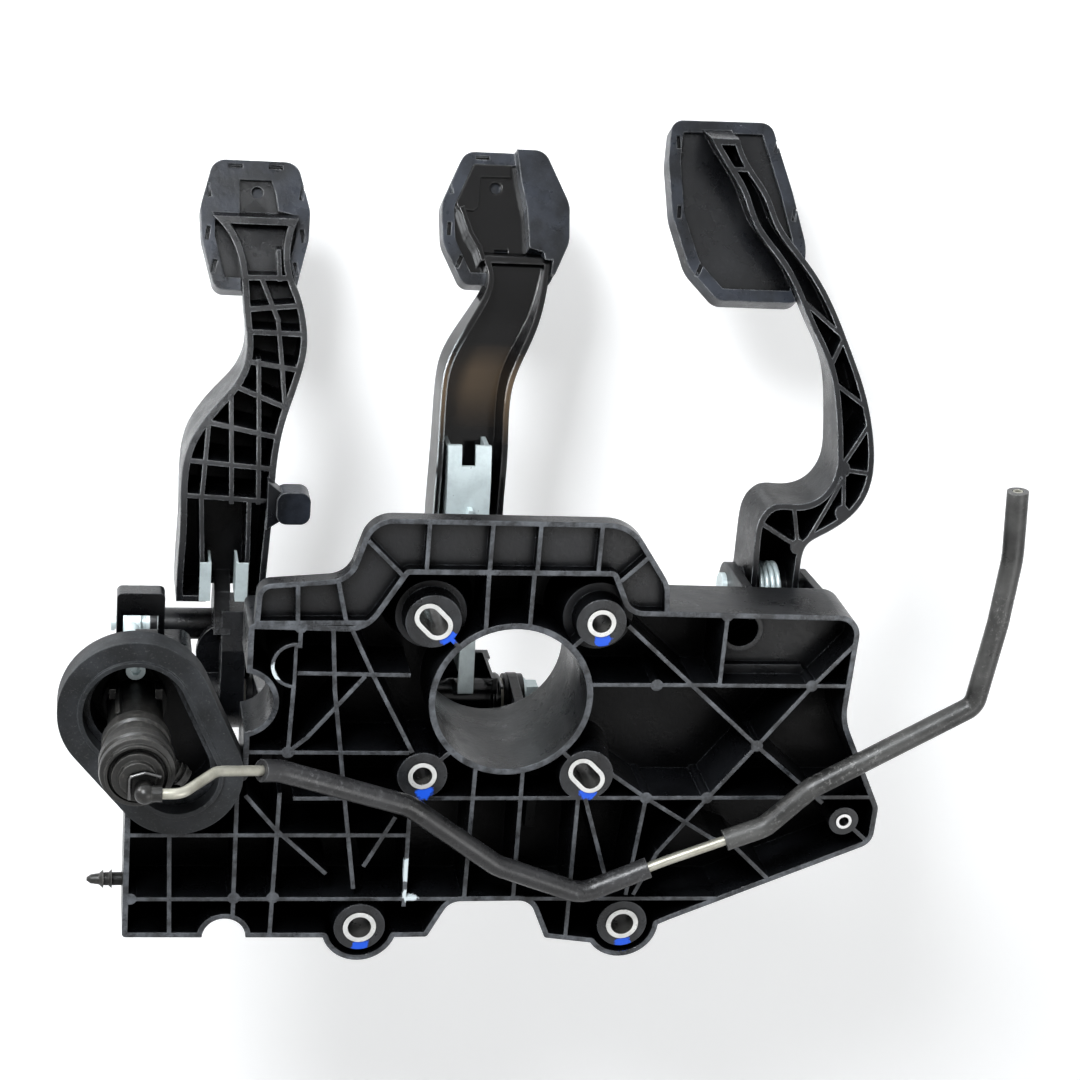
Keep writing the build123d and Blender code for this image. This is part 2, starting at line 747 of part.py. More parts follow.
def feed_nipple():
    """The ribbed spigot for the fluid feed hose, on the cylinder's side."""
    profile = [(0, CYL_FRONT_R - 1.5), (4.2, CYL_FRONT_R - 1.5)]
    for start in (18.5, 21.5, 24.5):
        profile += [(4.2, start), (5.4, start), (4.4, start + 2.2), (4.2, start + 2.2)]
    profile += [(4.2, 28), (0, 28)]
    spigot = revolve(polygon(*profile), Axis.Y)
    spigot -= Pos(0, 24, 0) * Rot(90, 0, 0) * Cylinder(2.2, 12)
    turned = Pos(CYL_X, -32, CYL_Z) * Rot(0, 36, 0) * Rot(0, 0, 90) * spigot
    return turned - around_cylinder(
        (0, -48), (CYL_FRONT_R, -48), (CYL_FRONT_R, -20), (0, -20)
    )


def pipe_union():
    """The round knob in the cap that the pipe is pushed into from the side."""
    front = CYL_FRONT_Y - CAP_LENGTH
    knob = round_y(KNOB_X, UNION_Z, 4.2, UNION_Y, front)
    knob += Pos(KNOB_X, UNION_Y, UNION_Z) * Sphere(4.6)
    knob += round_x(UNION_Y, UNION_Z, 3.6, 165.5, KNOB_X)
    return knob - round_x(UNION_Y, UNION_Z, PIPE_R, 160, KNOB_X - 1)


def union_wire_clip():
    """A bent wire that keeps the union in the cap."""
    y = CYL_FRONT_Y - CAP_LENGTH - 1.2
    path = FilletPolyline(
        (KNOB_X + 6.5, y, UNION_Z + 5),
        (KNOB_X + 6.5, y, UNION_Z - 6),
        (KNOB_X, y, UNION_Z - 8),
        (KNOB_X - 7, y, UNION_Z - 6),
        radius=2,
    )
    return sweep(Plane(origin=path @ 0, z_dir=path % 0) * Circle(0.7), path=path)


# Each bend of the pipe: corner point and bend radius
PIPE_CORNERS = [
    ((170, UNION_Y, UNION_Z), 0),
    ((157, UNION_Y, UNION_Z), 9),
    ((141, -53, 10.8), 12),
    ((112, -36, 19), 25),
    ((48, -17.5, 47), 25),
    ((3, -14, 81), 18),
    ((-40, -14, 97), 16),
    ((-80, -14, 79.5), 30),
    ((-128, -14, 61), 14),
    ((-149, -14, 40), 16),
    ((-225.5, -14, -4.5), 9),
    ((-231, -14, -48), 40),
    ((-233, -14, -82), 60),
    ((-230.3, -14, -115.6), 0),
]


def share(first, second, part):
    """The point that lies the given part of the way between two corners."""
    a, _ = PIPE_CORNERS[first]
    b, _ = PIPE_CORNERS[second]
    return tuple(p + (q - p) * part for p, q in zip(a, b))


def bent_line(start, first, last, end):
    """Straight runs and bends from start, past corners first to last, to end."""
    corners = PIPE_CORNERS[first : last + 1]
    points = [start] + [point for point, _ in corners] + [end]
    return FilletPolyline(*points, radius=[radius for _, radius in corners])


def tube_along(path, outer, inner):
    ring = Circle(outer) - Circle(inner)
    return sweep(Plane(origin=path @ 0, z_dir=path % 0) * ring, path=path)


def clutch_pipe():
    last = len(PIPE_CORNERS) - 1
    path = bent_line(PIPE_CORNERS[0][0], 1, last - 1, PIPE_CORNERS[last][0])
    return tube_along(path, PIPE_R, PIPE_R - PIPE_T)


def pipe_sleeve_inner():
    path = bent_line(share(2, 3, 0.72), 3, 6, share(6, 7, 0.8))
    return tube_along(path, PIPE_SLEEVE_R, PIPE_R + PIPE_SLEEVE_CLEARANCE)


def pipe_sleeve_outer():
    path = bent_line(share(7, 8, 0.6), 8, 12, share(12, 13, 1.0))
    return tube_along(path, PIPE_SLEEVE_R, PIPE_R + PIPE_SLEEVE_CLEARANCE)


def torsion_spring(place, radius, wire, pitch, turns, legs):
    """A coil about an X axis in half turns, each a plain arc, with two straight legs."""
    rise = pitch / 2
    spring = []
    for i in range(2 * turns):
        side = 1 - 2 * (i % 2)
        centre = (0, 0, rise * (i + 0.5))
        start = Plane(origin=(side * radius, 0, rise * i), z_dir=(0, side, 0))
        axis = Axis(centre, (side * rise / 2, 0, radius))
        spring.append(revolve(start * Circle(wire), axis=axis, revolution_arc=180))
    for i, way in ((0, -1), (1, 1)):
        end = Plane(origin=(radius, 0, pitch * turns * i), z_dir=(0, way, 0))
        spring.append(extrude(end * Circle(wire), amount=legs[i]))
    return place * Rot(0, 90, 0) * (Part() + spring)


def accelerator_spring():
    radius = ACC_HUB_R + SPRING_GAP + ACC_WIRE_R
    reach = ACC_PIVOT_Y - SHALLOW_FLOOR_Y - FLOOR_T - SPRING_GAP
    place = Pos(-133.6, ACC_PIVOT_Y, ACC_PIVOT_Z) * Rot(0, 180, 0)
    return torsion_spring(place, radius, ACC_WIRE_R, 2.9, 4, (reach, 6))


def brake_return_spring():
    radius = BRAKE_TUBE_R + SPRING_GAP + BRAKE_WIRE_R
    place = Pos(-11.6, PIVOT_Y, PIVOT_Z)
    return torsion_spring(place, radius, BRAKE_WIRE_R, 1.8, 2, (14, 8))


# Clutch pedal
CLUTCH_LEFT = [
    (140, -190),
    (126.5, -169),
    (124.5, -148),
    (123.5, -132),
    (129, -119),
    (137, -110.5),
    (145, -101.5),
    (151, -92),
    (154, -80),
    (154.5, -55),
    (155.5, -30),
    (155.5, -16),
]
CLUTCH_RIGHT = [
    (97.5, -190),
    (101.5, -178),
    (101, -166),
    (96.5, -155),
    (94, -144),
    (93.7, -136),
    (95.5, -127),
    (99.8, -115),
    (104.5, -102.5),
    (107.5, -90),
    (109, -77),
    (110.5, -54),
    (112, -31),
    (112.5, -16),
]
CLUTCH_FRONT = [(157, -190), (148, -175), (130, -150), (104, -110), (86, -70), (79, -35), (78, -16)]
CLUTCH_BACK = [(167, -190), (158, -175), (145, -150), (131, -110), (116, -70), (109, -35), (108, -16)]
CLUTCH_RIBS = [
    [(130, -163.4), (92, -164.2)],
    [(130, -149.5), (90, -153)],
    [(130, -140.8), (90, -140.2)],
    [(130, -129), (90, -124)],
    [(135, -119.5), (98, -106.5)],
    [(150, -103), (100, -94)],
    [(158, -85), (104, -80.8)],
    [(158, -68.8), (104, -66)],
    [(116, -163.5), (108, -146), (106, -125.5), (104.5, -106)],
    [(130, -175), (130, -163.5)],
    [(107.5, -175), (107, -163.5)],
    [(117.5, -128), (117, -66)],
    [(131, -121), (130, -66)],
    [(141, -108), (144.5, -66), (142.5, -10)],
    [(121.5, -66), (121.5, -10)],
]
CLUTCH_PAD_FRAME = pad_frame((118.6, 164, -186), PAD_TILT)


def clutch_pad_outline():
    return rounded(
        (21, 31, 8),
        (-21, 31, 8),
        (-27.4, 6, 14),
        (-26.6, -9, 14),
        (-20, -36, 6),
        (20, -36, 6),
        (26.6, -9, 14),
        (27.4, 6, 14),
    )


def arm_blank(left, right, front, back):
    """An arm with one outline in the front view and another in the side view."""
    return extrude_y(between(left, right), 20, 220) & extrude_x(
        between(front, back), min(right)[0] - 60, max(left)[0] + 60
    )


def arm_pockets(left, right, front, back, edge, ribs, back_wall):
    """The hollows between an arm's ribs, open to the front."""
    heights = [z for _, z in left]
    cells = between(shifted(left, edge), shifted(right, -edge))
    cells = cells & window(-400, 400, min(heights) + edge, max(heights) - edge)
    if ribs:
        cells -= ribs
    early = [(y - 12, z) for y, z in front]
    late = shifted(back, back_wall)
    depth = extrude_x(between(early, late), -300, 300)
    return extrude_y(cells, 20, 220) & depth


def clutch_arm():
    arm = arm_blank(CLUTCH_LEFT, CLUTCH_RIGHT, CLUTCH_FRONT, CLUTCH_BACK)
    ribs = strips(CLUTCH_RIBS, 2.2)
    arm -= arm_pockets(
        CLUTCH_LEFT, CLUTCH_RIGHT, CLUTCH_FRONT, CLUTCH_BACK, 3.2, ribs, 3.0
    )
    arm -= extrude_y(window(123, 141, -30, -10), 60, 102)
    arm -= extrude(CLUTCH_PAD_FRAME * clutch_pad_outline(), amount=60)
    arm += extrude(CLUTCH_PAD_FRAME * offset(clutch_pad_outline(), -PAD_EDGE), amount=PLATE_T)
    root = polygon((107, -24), (96, -14), (92, -2), (88, 6), (118, 6), (114, -18), (108, -42))
    neck = polygon(
        (92, -5),
        (86, 14),
        (PIVOT_Y - HUB_R, PIVOT_Z),
        (PIVOT_Y + HUB_R, PIVOT_Z),
        (118, 14),
        (117, -5),
    )
    arm += extrude_x(root, 128, 136)
    arm += extrude_x(neck, 119.9, 132)
    arm += round_x(PIVOT_Y, PIVOT_Z, HUB_R, *CLUTCH_HUB_X)
    x, z, radius = CLUTCH_DISC
    disc = (Pos(x, z) * Circle(radius)) & window(116.5, 144.5, z - radius, z + radius)
    arm += extrude_y(disc, 95, 99)
    arm += round_x(ROD_PIN_Y, CYL_Z, 8.0, 128, 167)
    arm += bumper_web()
    arm -= round_x(PIVOT_Y, PIVOT_Z, BUSH_R, 100, 150)
    arm -= round_x(ROD_PIN_Y, CYL_Z, ROD_PIN_R, 155, 170)
    arm -= extrude(CLUTCH_PAD_FRAME * Pos(-1, 15) * Circle(PAD_HOLE_R), amount=10)
    return arm


def bush_pair(x_range, flange_out, y, z, shaft_r, bush_r, flange_r, length):
    """Two flanged bushes pushed in from the ends of a hub."""
    x0, x1 = x_range
    pair = []
    for end, way in ((x0, 1), (x1, -1)):
        inner = end + way * length
        bush = round_x(y, z, bush_r, min(end, inner), max(end, inner))
        out = end - way * flange_out
        bush += round_x(y, z, flange_r, min(end, out), max(end, out))
        pair.append(bush - round_x(y, z, shaft_r, x0 - 10, x1 + 10))
    return pair[0] + pair[1]


def clutch_bushes():
    return bush_pair(
        CLUTCH_HUB_X, BUSH_FLANGE_T, PIVOT_Y, PIVOT_Z, PIVOT_HOLE_R, BUSH_R, BUSH_FLANGE_R, 10
    )


def pad_rubber(frame, outline, opening, slots, tread, left, right, wing=None):
    """A rubber cover that wraps round the edge of a pad plate and clears the arm."""
    cover = extrude(frame.offset(-PAD_LIP_T) * outline, amount=PAD_LIP_T + PAD_T)
    if wing:
        cover += extrude(frame.offset(-WING_HEIGHT) * (wing & outline), amount=WING_HEIGHT)
    cover -= extrude(frame * offset(outline, -PAD_EDGE), amount=PLATE_T)
    if wing:
        opening -= wing
    cover -= extrude(frame.offset(-PAD_LIP_T) * opening, amount=PAD_LIP_T)
    for x, v, angle in slots:
        slot = Pos(x, v) * Rot(0, 0, angle) * Rectangle(2.0, 7.0)
        cover -= extrude(frame.offset(-PAD_LIP_T) * slot, amount=PAD_LIP_T)
    foot = extrude_y(between(shifted(left, -PAD_GAP), shifted(right, PAD_GAP)), 60, 240)
    lip = extrude(frame.offset(-20) * Rectangle(200, 200), amount=20)
    cover -= foot & lip
    grooves = Sketch() + [Pos(0, v) * Rectangle(200, 2.2) for v in tread]
    grooves = grooves & offset(outline, -4.5)
    cover -= extrude(frame.offset(PAD_T - 1.8) * grooves, amount=1.8)
    return cover


def clutch_pad():
    slots = [
        (23.4, 15, -12),
        (23.6, -7, 8),
        (20.4, -24, 14),
        (-23.4, 15, 12),
        (-23.6, -7, -8),
        (-20.4, -24, -14),
        (10, 28, 90),
        (-10, 28, 90),
    ]
    opening = polygon(
        (7.9, 21),
        (-7.9, 21),
        (-10.1, 14.4),
        (-11.4, 5.5),
        (-20.5, 3.5),
        (-20.5, -30),
        (20, -30),
        (20, 2),
        (7.9, 2),
    )
    outline = clutch_pad_outline()
    return pad_rubber(
        CLUTCH_PAD_FRAME,
        outline,
        opening & offset(outline, -PAD_LIP_W),
        slots,
        range(-28, 28, 7),
        CLUTCH_LEFT,
        CLUTCH_RIGHT,
    )


def clutch_bumper():
    """The rubber buffer on the arm's inner side."""
    block = Pos(100.2, -65) * RectangleRounded(16.5, 16.5, 5)
    bumper = extrude_y(block, 79, 92)
    bumper -= extrude_y(between(CLUTCH_LEFT, CLUTCH_RIGHT), 20, 220)
    return bumper - bumper_web()


def bumper_web():
    """The web of the arm that the bumper is pushed onto."""
    web = polygon((113, -78), (103, -70), (103, -60), (113, -53))
    return extrude_y(web, 81, 90)


def clutch_side_plates():
    """Two thin zinc-plated angles that line the mouth of the arm's channel."""
    plates = []
    for front, leg in (((139, 144.5), (139, 140.2)), ((121, 127), (125.8, 127))):
        plates.append(extrude_y(window(*front, -37, -17), 76.3, 77.7))
        plates.append(extrude_y(window(*leg, -37, -17), 76.3, 94))
    return Part() + plates


def clutch_cross_pin():
    pin = round_x(ROD_PIN_Y, CYL_Z, ROD_PIN_R, 155, 186)
    pin += round_x(ROD_PIN_Y, CYL_Z, 6.5, 167, 169)
    return pin - clip_groove(ROD_PIN_Y, CYL_Z, 183, 184.2)


def clutch_push_rod():
    eye = round_x(ROD_PIN_Y, CYL_Z, 8.0, CYL_X - 4.5, CYL_X + 4.5)
    ball_y = PISTON_REAR_Y - PISTON_RECESS_DEPTH + ROD_BALL_R + 0.5
    rod = round_y(CYL_X, CYL_Z, ROD_R, ball_y, ROD_PIN_Y - 5)
    rod += Pos(CYL_X, ball_y, CYL_Z) * Sphere(ROD_BALL_R)
    rod += round_y(CYL_X, CYL_Z, 6.0, 74, 80)
    rod += eye
    return rod - round_x(ROD_PIN_Y, CYL_Z, ROD_PIN_R + SHAFT_CLEARANCE, 160, 190)


def clutch_piston():
    radius = CYL_BORE_R - PISTON_CLEARANCE
    return around_cylinder(
        (0, PISTON_FRONT_Y),
        (radius - 1, PISTON_FRONT_Y),
        (radius, PISTON_FRONT_Y + 1),
        (radius, PISTON_FRONT_Y + 5),
        (radius - 1.5, PISTON_FRONT_Y + 5),
        (radius - 1.5, PISTON_FRONT_Y + 9),
        (radius, PISTON_FRONT_Y + 9),
        (radius, PISTON_REAR_Y),
        (PISTON_RECESS_R, PISTON_REAR_Y),
        (PISTON_RECESS_R, PISTON_REAR_Y - PISTON_RECESS_DEPTH),
        (0, PISTON_REAR_Y - PISTON_RECESS_DEPTH),
    )


# Brake pedal
BRAKE_LEFT = [
    (5.4, -176),
    (2.2, -164),
    (6.8, -155),
    (16, -141.5),
    (24, -126.5),
    (26.5, -111),
    (27.5, -89),
    (28.5, -68),
    (29, -40),
    (29, 66),
]
BRAKE_RIGHT = [
    (-31, -176),
    (-27, -158),
    (-23, -146),
    (-15.5, -131),
    (-10.5, -119.5),
    (-8.3, -104.5),
    (-8, -89),
    (-7, -68),
    (-7, -40),
    (-7, 66),
]
BRAKE_FRONT = [(153, -176), (139, -158), (114, -110), (100, -70), (96, -35), (89, 5), (82, 45), (86, 66)]
BRAKE_BACK = [(160, -176), (151, -158), (138, -110), (127, -70), (124, -35), (121, 5), (118, 45), (112, 66)]
BRAKE_SHEET = 3.0
BRAKE_PAD_FRAME = pad_frame((-8, 168, -190), PAD_TILT)


def brake_pad_outline():
    return rounded(
        (20, 36, 8),
        (-20, 36, 8),
        (-32.5, 8, 16),
        (-32, -12, 16),
        (-22, -34, 6),
        (22, -34, 6),
        (32, -12, 16),
        (32.5, 8, 16),
    )


def brake_arm():
    """A pressed channel, open to the front, that flares onto the pad carrier."""
    round_top = Pos(PIVOT_Y, PIVOT_Z) * Circle(18) + window(60, 180, -190, PIVOT_Z)
    arm = arm_blank(BRAKE_LEFT, BRAKE_RIGHT, BRAKE_FRONT, BRAKE_BACK)
    arm = arm & extrude_x(round_top, -60, 60)
    arm -= arm_pockets(
        BRAKE_LEFT, BRAKE_RIGHT, BRAKE_FRONT, BRAKE_BACK, BRAKE_SHEET, None, BRAKE_SHEET
    )
    horn = strips([[(12.5, -21), (14, -16), (18.8, -7.3), (22.5, 4)]], BRAKE_SHEET)
    arm += extrude(BRAKE_PAD_FRAME * horn, amount=-7)
    arm -= extrude(BRAKE_PAD_FRAME * brake_pad_outline(), amount=60)
    arm -= extrude_y(window(-60, ROD_SHEET_X[1] + 0.6, -44, 27), 20, 220)
    arm -= round_x(PIVOT_Y, PIVOT_Z, BRAKE_TUBE_R, -60, 60)
    arm -= round_x(PIVOT_Y, PIVOT_Z, 20.0, -60, -6.9)
    return arm


def brake_hub_tube():
    tube = round_x(PIVOT_Y, PIVOT_Z, BRAKE_TUBE_R, *BRAKE_HUB_X)
    return tube - round_x(PIVOT_Y, PIVOT_Z, BUSH_R, -60, 60)


def brake_bushes():
    return bush_pair(
        BRAKE_HUB_X, BUSH_FLANGE_T, PIVOT_Y, PIVOT_Z, PIVOT_HOLE_R, BUSH_R, 10.0, 10
    )


def brake_pad_carrier():
    """The pressed plate behind the brake rubber with its turned-up side."""
    plate = extrude(BRAKE_PAD_FRAME * offset(brake_pad_outline(), -PAD_EDGE), amount=PLATE_T)
    frame = polygon(
        (26, 32),
        (-3.8, 32),
        (-3.8, 23),
        (12.2, 22.6),
        (13.4, 7),
        (15.8, 4.7),
        (24, 5),
        (28, 17),
    )
    raised = frame & offset(brake_pad_outline(), -PAD_LIP_W - 0.2)
    horn_zone = strips([[(18.8, -7.3), (22.5, 4)]], BRAKE_SHEET + 1)
    plate += extrude(BRAKE_PAD_FRAME * (raised - horn_zone), amount=-2.4)
    plate -= extrude(BRAKE_PAD_FRAME.offset(-3) * Pos(4.2, 17.7) * Circle(PAD_HOLE_R), amount=9)
    plate -= extrude(BRAKE_PAD_FRAME * window(-1.6, 5.2, -26.2, -14.7), amount=PLATE_T)
    return plate


def brake_pad():
    slots = [
        (28, 17, -14),
        (28.6, -5, 4),
        (23.6, -22, 24),
        (-28, 17, 14),
        (-28.6, -5, -4),
        (-23.6, -22, -24),
        (11, 33, 90),
        (-11, 33, 90),
    ]
    wing = polygon(
        (-7.2, 21.2),
        (-5, 40),
        (-24, 40),
        (-40, 9),
        (-40, -27.5),
        (-21.3, -28.9),
        (-18.5, -17.4),
        (-11.3, -15.5),
        (-10.4, 5.2),
    )
    outline = brake_pad_outline()
    return pad_rubber(
        BRAKE_PAD_FRAME,
        outline,
        offset(outline, -PAD_LIP_W),
        slots,
        range(-28, 32, 7),
        shifted(BRAKE_LEFT, 1.0),
        BRAKE_RIGHT,
        wing,
    )


def brake_rod_bracket():
    """The zinc-plated bracket in the channel that carries the booster's rod pin."""
    front = polygon(
        (0, -90),
        (22, -90),
        (22, -42),
        (11.4, -37),
        (11.4, 36),
        (3.5, 36),
        (3.5, -37),
        (0, -42),
    )
    front -= window(8, 15, -92, -80)
    early = [(y + 1.0, z) for y, z in BRAKE_FRONT[1:7]]
    late = [(y + 3.4, z) for y, z in BRAKE_FRONT[1:7]]
    deep = shifted(BRAKE_BACK[1:7], BRAKE_SHEET + SPRING_GAP)
    sheet = extrude_y(front, 60, 160) & extrude_x(between(early, late), -20, 40)
    legs = extrude_y(window(0, 2.4, -88, -47) + window(19.6, 22, -88, -47), 60, 160)
    sheet += legs & extrude_x(between(early, deep), -20, 40)
    side = polygon((92, -22), (94, -60), (112, -60), (116, -20), (116, 26), (90, 26))
    sheet += extrude_x(side, *ROD_SHEET_X)
    sheet -= round_x(BRAKE_PIN_Y, 0, BRAKE_PIN_R - 1, 0, 20)
    return sheet


def brake_rod_pin():
    """The pin that the booster's rod eye turns on, riveted into its bracket."""
    pin = round_x(BRAKE_PIN_Y, 0, BRAKE_PIN_R, *BRAKE_PIN_X)
    pin += round_x(BRAKE_PIN_Y, 0, BRAKE_PIN_R - 1, BRAKE_PIN_X[1], ROD_SHEET_X[1])
    pin += round_x(BRAKE_PIN_Y, 0, 7.0, ROD_SHEET_X[1], ROD_SHEET_X[1] + 2)
    return pin


# Accelerator pedal
ACC_LEFT = [
    (-111, -239),
    (-120.4, -224.5),
    (-127.7, -213),
    (-133, -199.5),
    (-144.6, -185),
    (-152, -174),
    (-160, -156),
    (-168, -138.5),
    (-170, -122),
    (-170, -106),
    (-168.5, -92),
    (-160, -81),
    (-147.5, -77.8),
    (-136.6, -77.3),
    (-130, -71),
    (-127.7, -60),
    (-127.5, -48),
    (-127.5, -34),
    (-127.5, -18),
    (-127.5, 0),
]
ACC_RIGHT = [
    (-126, -239),
    (-132.5, -225.5),
    (-142, -212),
    (-146, -202),
    (-154, -191),
    (-165, -178),
    (-174, -162),
    (-181, -144),
    (-185.5, -130),
    (-188, -117),
    (-189, -103),
    (-187.6, -90),
    (-182, -78),
    (-173, -69.5),
    (-162.7, -63.5),
    (-154.5, -58),
    (-152.2, -48),
    (-152, -34),
    (-152, -18),
    (-152, 0),
]
ACC_FRONT = [(165, -239), (145, -200), (110, -150), (80, -110), (62, -70), (57, -48), (56, -24), (56, 0)]
ACC_BACK = [(187, -239), (160, -200), (127, -150), (106, -110), (94, -70), (92, -48), (92, -24), (92, 0)]
ACC_RIBS = [
    [(-115, -224.5), (-138, -225)],
    [(-155, -168), (-177, -151.5)],
    [(-178, -152), (-167, -136)],
    [(-167, -134), (-189, -120)],
    [(-190, -118), (-173, -97)],
    [(-170, -94.5), (-192, -92)],
    [(-173, -95), (-173, -74)],
    [(-172, -89), (-155, -61)],
    [(-147, -79), (-150, -58)],
    [(-128, -70), (-150, -57.5)],
]
ACC_KNOTS = [(-172.5, -94.5), (-172.5, -74), (-150, -57.5)]
ACC_PAD_FRAME = pad_frame((-126, 162, -203), ACC_PAD_TILT)


def acc_pad_outline():
    return rounded(
        (31, 47, 7),
        (-22, 48, 7),
        (-31.5, 11, 30),
        (-37.5, -19, 30),
        (-33.5, -50, 8),
        (11, -50, 8),
        (25.5, -33, 20),
        (33, -5, 30),
        (34, 25, 30),
    )


def accelerator_arm():
    arm = arm_blank(ACC_LEFT, ACC_RIGHT, ACC_FRONT, ACC_BACK)
    ribs = strips(ACC_RIBS, 2.0)
    ribs += [Pos(x, z) * Circle(3.8) for x, z in ACC_KNOTS]
    arm -= arm_pockets(ACC_LEFT, ACC_RIGHT, ACC_FRONT, ACC_BACK, 3.0, ribs, 2.6)
    round_end = Pos(ACC_PIVOT_Y, ACC_PIVOT_Z) * Circle(ACC_END_R)
    round_end += window(40, 240, -260, ACC_PIVOT_Z)
    arm = arm & extrude_x(round_end, -300, 0)
    arm -= extrude(ACC_PAD_FRAME * acc_pad_outline(), amount=80)
    arm += extrude(ACC_PAD_FRAME * offset(acc_pad_outline(), -PAD_EDGE), amount=PLATE_T)
    arm += round_x(ACC_PIVOT_Y, ACC_PIVOT_Z, ACC_HUB_R, *ACC_HUB_X)
    arm -= round_x(ACC_PIVOT_Y, ACC_PIVOT_Z, ACC_BUSH_R, -160, -110)
    arm -= round_x(ACC_PIVOT_Y, ACC_PIVOT_Z, 20.0, -160, ACC_HUB_X[0])
    return arm


def accelerator_pad():
    slots = [
        (28, 35, 0),
        (29.2, -3, 6),
        (20, -34, 26),
        (-24.5, 35, 16),
        (-32, -2, 12),
    ]
    outline = acc_pad_outline()
    return pad_rubber(
        ACC_PAD_FRAME,
        outline,
        offset(outline, -PAD_LIP_W),
        slots,
        range(-44, 44, 8),
        ACC_LEFT,
        ACC_RIGHT,
    )


def accelerator_bushes():
    return bush_pair(
        ACC_HUB_X, BUSH_FLANGE_T, ACC_PIVOT_Y, ACC_PIVOT_Z, ACC_HOLE_R, ACC_BUSH_R, 8.0, 12
    )


NODES = [
    pedal_bracket,
    round_stud_sleeves,
    slotted_stud_sleeves,
    upper_bolt_sleeves,
    threaded_insert,
    main_pivot_bolt,
    main_pivot_nut,
    accelerator_pivot_pin,
    accelerator_pin_clip,
    harness_clip,
    bulkhead_seal,
    master_cylinder_body,
    master_cylinder_cap,
    master_cylinder_screws,
    feed_nipple,
    pipe_union,
    union_wire_clip,
    clutch_pipe,
    pipe_sleeve_inner,
    pipe_sleeve_outer,
    accelerator_spring,
    brake_return_spring,
    clutch_arm,
    clutch_pad,
    clutch_bushes,
    clutch_bumper,
    clutch_side_plates,
    clutch_cross_pin,
    clutch_push_rod,
    clutch_piston,
    brake_arm,
    brake_pad_carrier,
    brake_pad,
    brake_rod_bracket,
    brake_rod_pin,
    brake_hub_tube,
    brake_bushes,
    accelerator_arm,
    accelerator_pad,
    accelerator_bushes,
]


def main():
    for make in NODES:
        write(make.__name__, make())


if __name__ == "__main__":
    main()
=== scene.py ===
import logging
from dataclasses import dataclass, field
from enum import Enum

import bpy
from mathutils import Matrix, Vector

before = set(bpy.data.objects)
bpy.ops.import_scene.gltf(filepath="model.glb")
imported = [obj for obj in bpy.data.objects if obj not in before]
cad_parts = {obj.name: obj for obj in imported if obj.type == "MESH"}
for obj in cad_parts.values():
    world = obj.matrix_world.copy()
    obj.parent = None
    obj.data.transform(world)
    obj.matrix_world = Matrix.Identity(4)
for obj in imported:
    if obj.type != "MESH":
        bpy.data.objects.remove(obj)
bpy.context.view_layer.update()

logging.basicConfig(level=logging.INFO, format="%(levelname)s %(message)s")
LOG = logging.getLogger("pedal_box")

Colour = tuple[float, float, float]
Place = tuple[float, float, float]
Span = tuple[float, float]
Socket = bpy.types.NodeSocket

# The way the bracket's mating plane looks, in the row frame.
FORWARD: Place = (0.0, -1.0, 0.0)

# The colour sockets of a Mix node, whose sockets of other types have the same names.
MIX_COLOURS = (6, 7)
MIX_RESULT = 2

# Rays that an edge mask and a hollow mask send out at each point.
EDGE_SAMPLES = 4
HOLLOW_SAMPLES = 3

# Cosine between the true and the rounded normal at which an edge mask is 0, and at which it is 1.
EDGE_COSINES: Span = (0.985, 0.86)

# Share of open sky at which a hollow's mask is 0, and at which it is 1.
HOLLOW_OPENNESS: Span = (0.78, 0.32)

# Ramps across the rim of a disc and of a dab, as shares of its radius.
DISC_RIM: Span = (1.05, 0.95)
DAB_RIM: Span = (0.45, 0.25)

# How far noise pushes a dab's rim out, as a share of its radius, and the noise's scale and octaves.
DAB_RAGGEDNESS = 1.2
DAB_NOISE_SCALE = 520.0
DAB_NOISE_DETAIL = 3.0


class Look(Enum):
    """The finishes that a node can wear, each with its material's name."""

    MOULDING = "moulding"
    CLUTCH_MOULDING = "clutch_moulding"
    ACCELERATOR_MOULDING = "accelerator_moulding"
    CYLINDER_MOULDING = "cylinder_moulding"
    INNER_PIPE_SLEEVE = "inner_pipe_sleeve"
    OUTER_PIPE_SLEEVE = "outer_pipe_sleeve"
    SEAL_RUBBER = "seal_rubber"
    PAD_RUBBER = "pad_rubber"
    BUSH_PLASTIC = "bush_plastic"
    SLEEVE_STEEL = "sleeve_steel"
    ZINC_PLATE = "zinc_plate"
    SPRING_STEEL = "spring_steel"
    PIPE_STEEL = "pipe_steel"
    INSERT_STEEL = "insert_steel"
    BLACK_PAINT = "black_paint"


class Grain(Enum):
    """How fine a texture is, as the scale of its noise."""

    FINE = 900.0
    MEDIUM = 420.0
    COARSE = 160.0


class Axis(Enum):
    """The axes of the row frame."""

    X = "X"
    Y = "Y"
    Z = "Z"


@dataclass(frozen=True)
class Pattern:
    """Noise that is stretched to a mask."""

    scale: float
    low: float
    high: float
    detail: float = 6.0
    rough: float = 0.6


@dataclass(frozen=True)
class Texture:
    """Fine bumps, with their strength from 0 to 1 and their depth in metres."""

    grain: Grain
    strength: float
    depth: float
    detail: float = 6.0
    rough: float = 0.6


@dataclass(frozen=True)
class Sheen:
    """How much smoother and rougher than its mean a surface gets from place to place."""

    pattern: Pattern
    smoother: float
    rougher: float


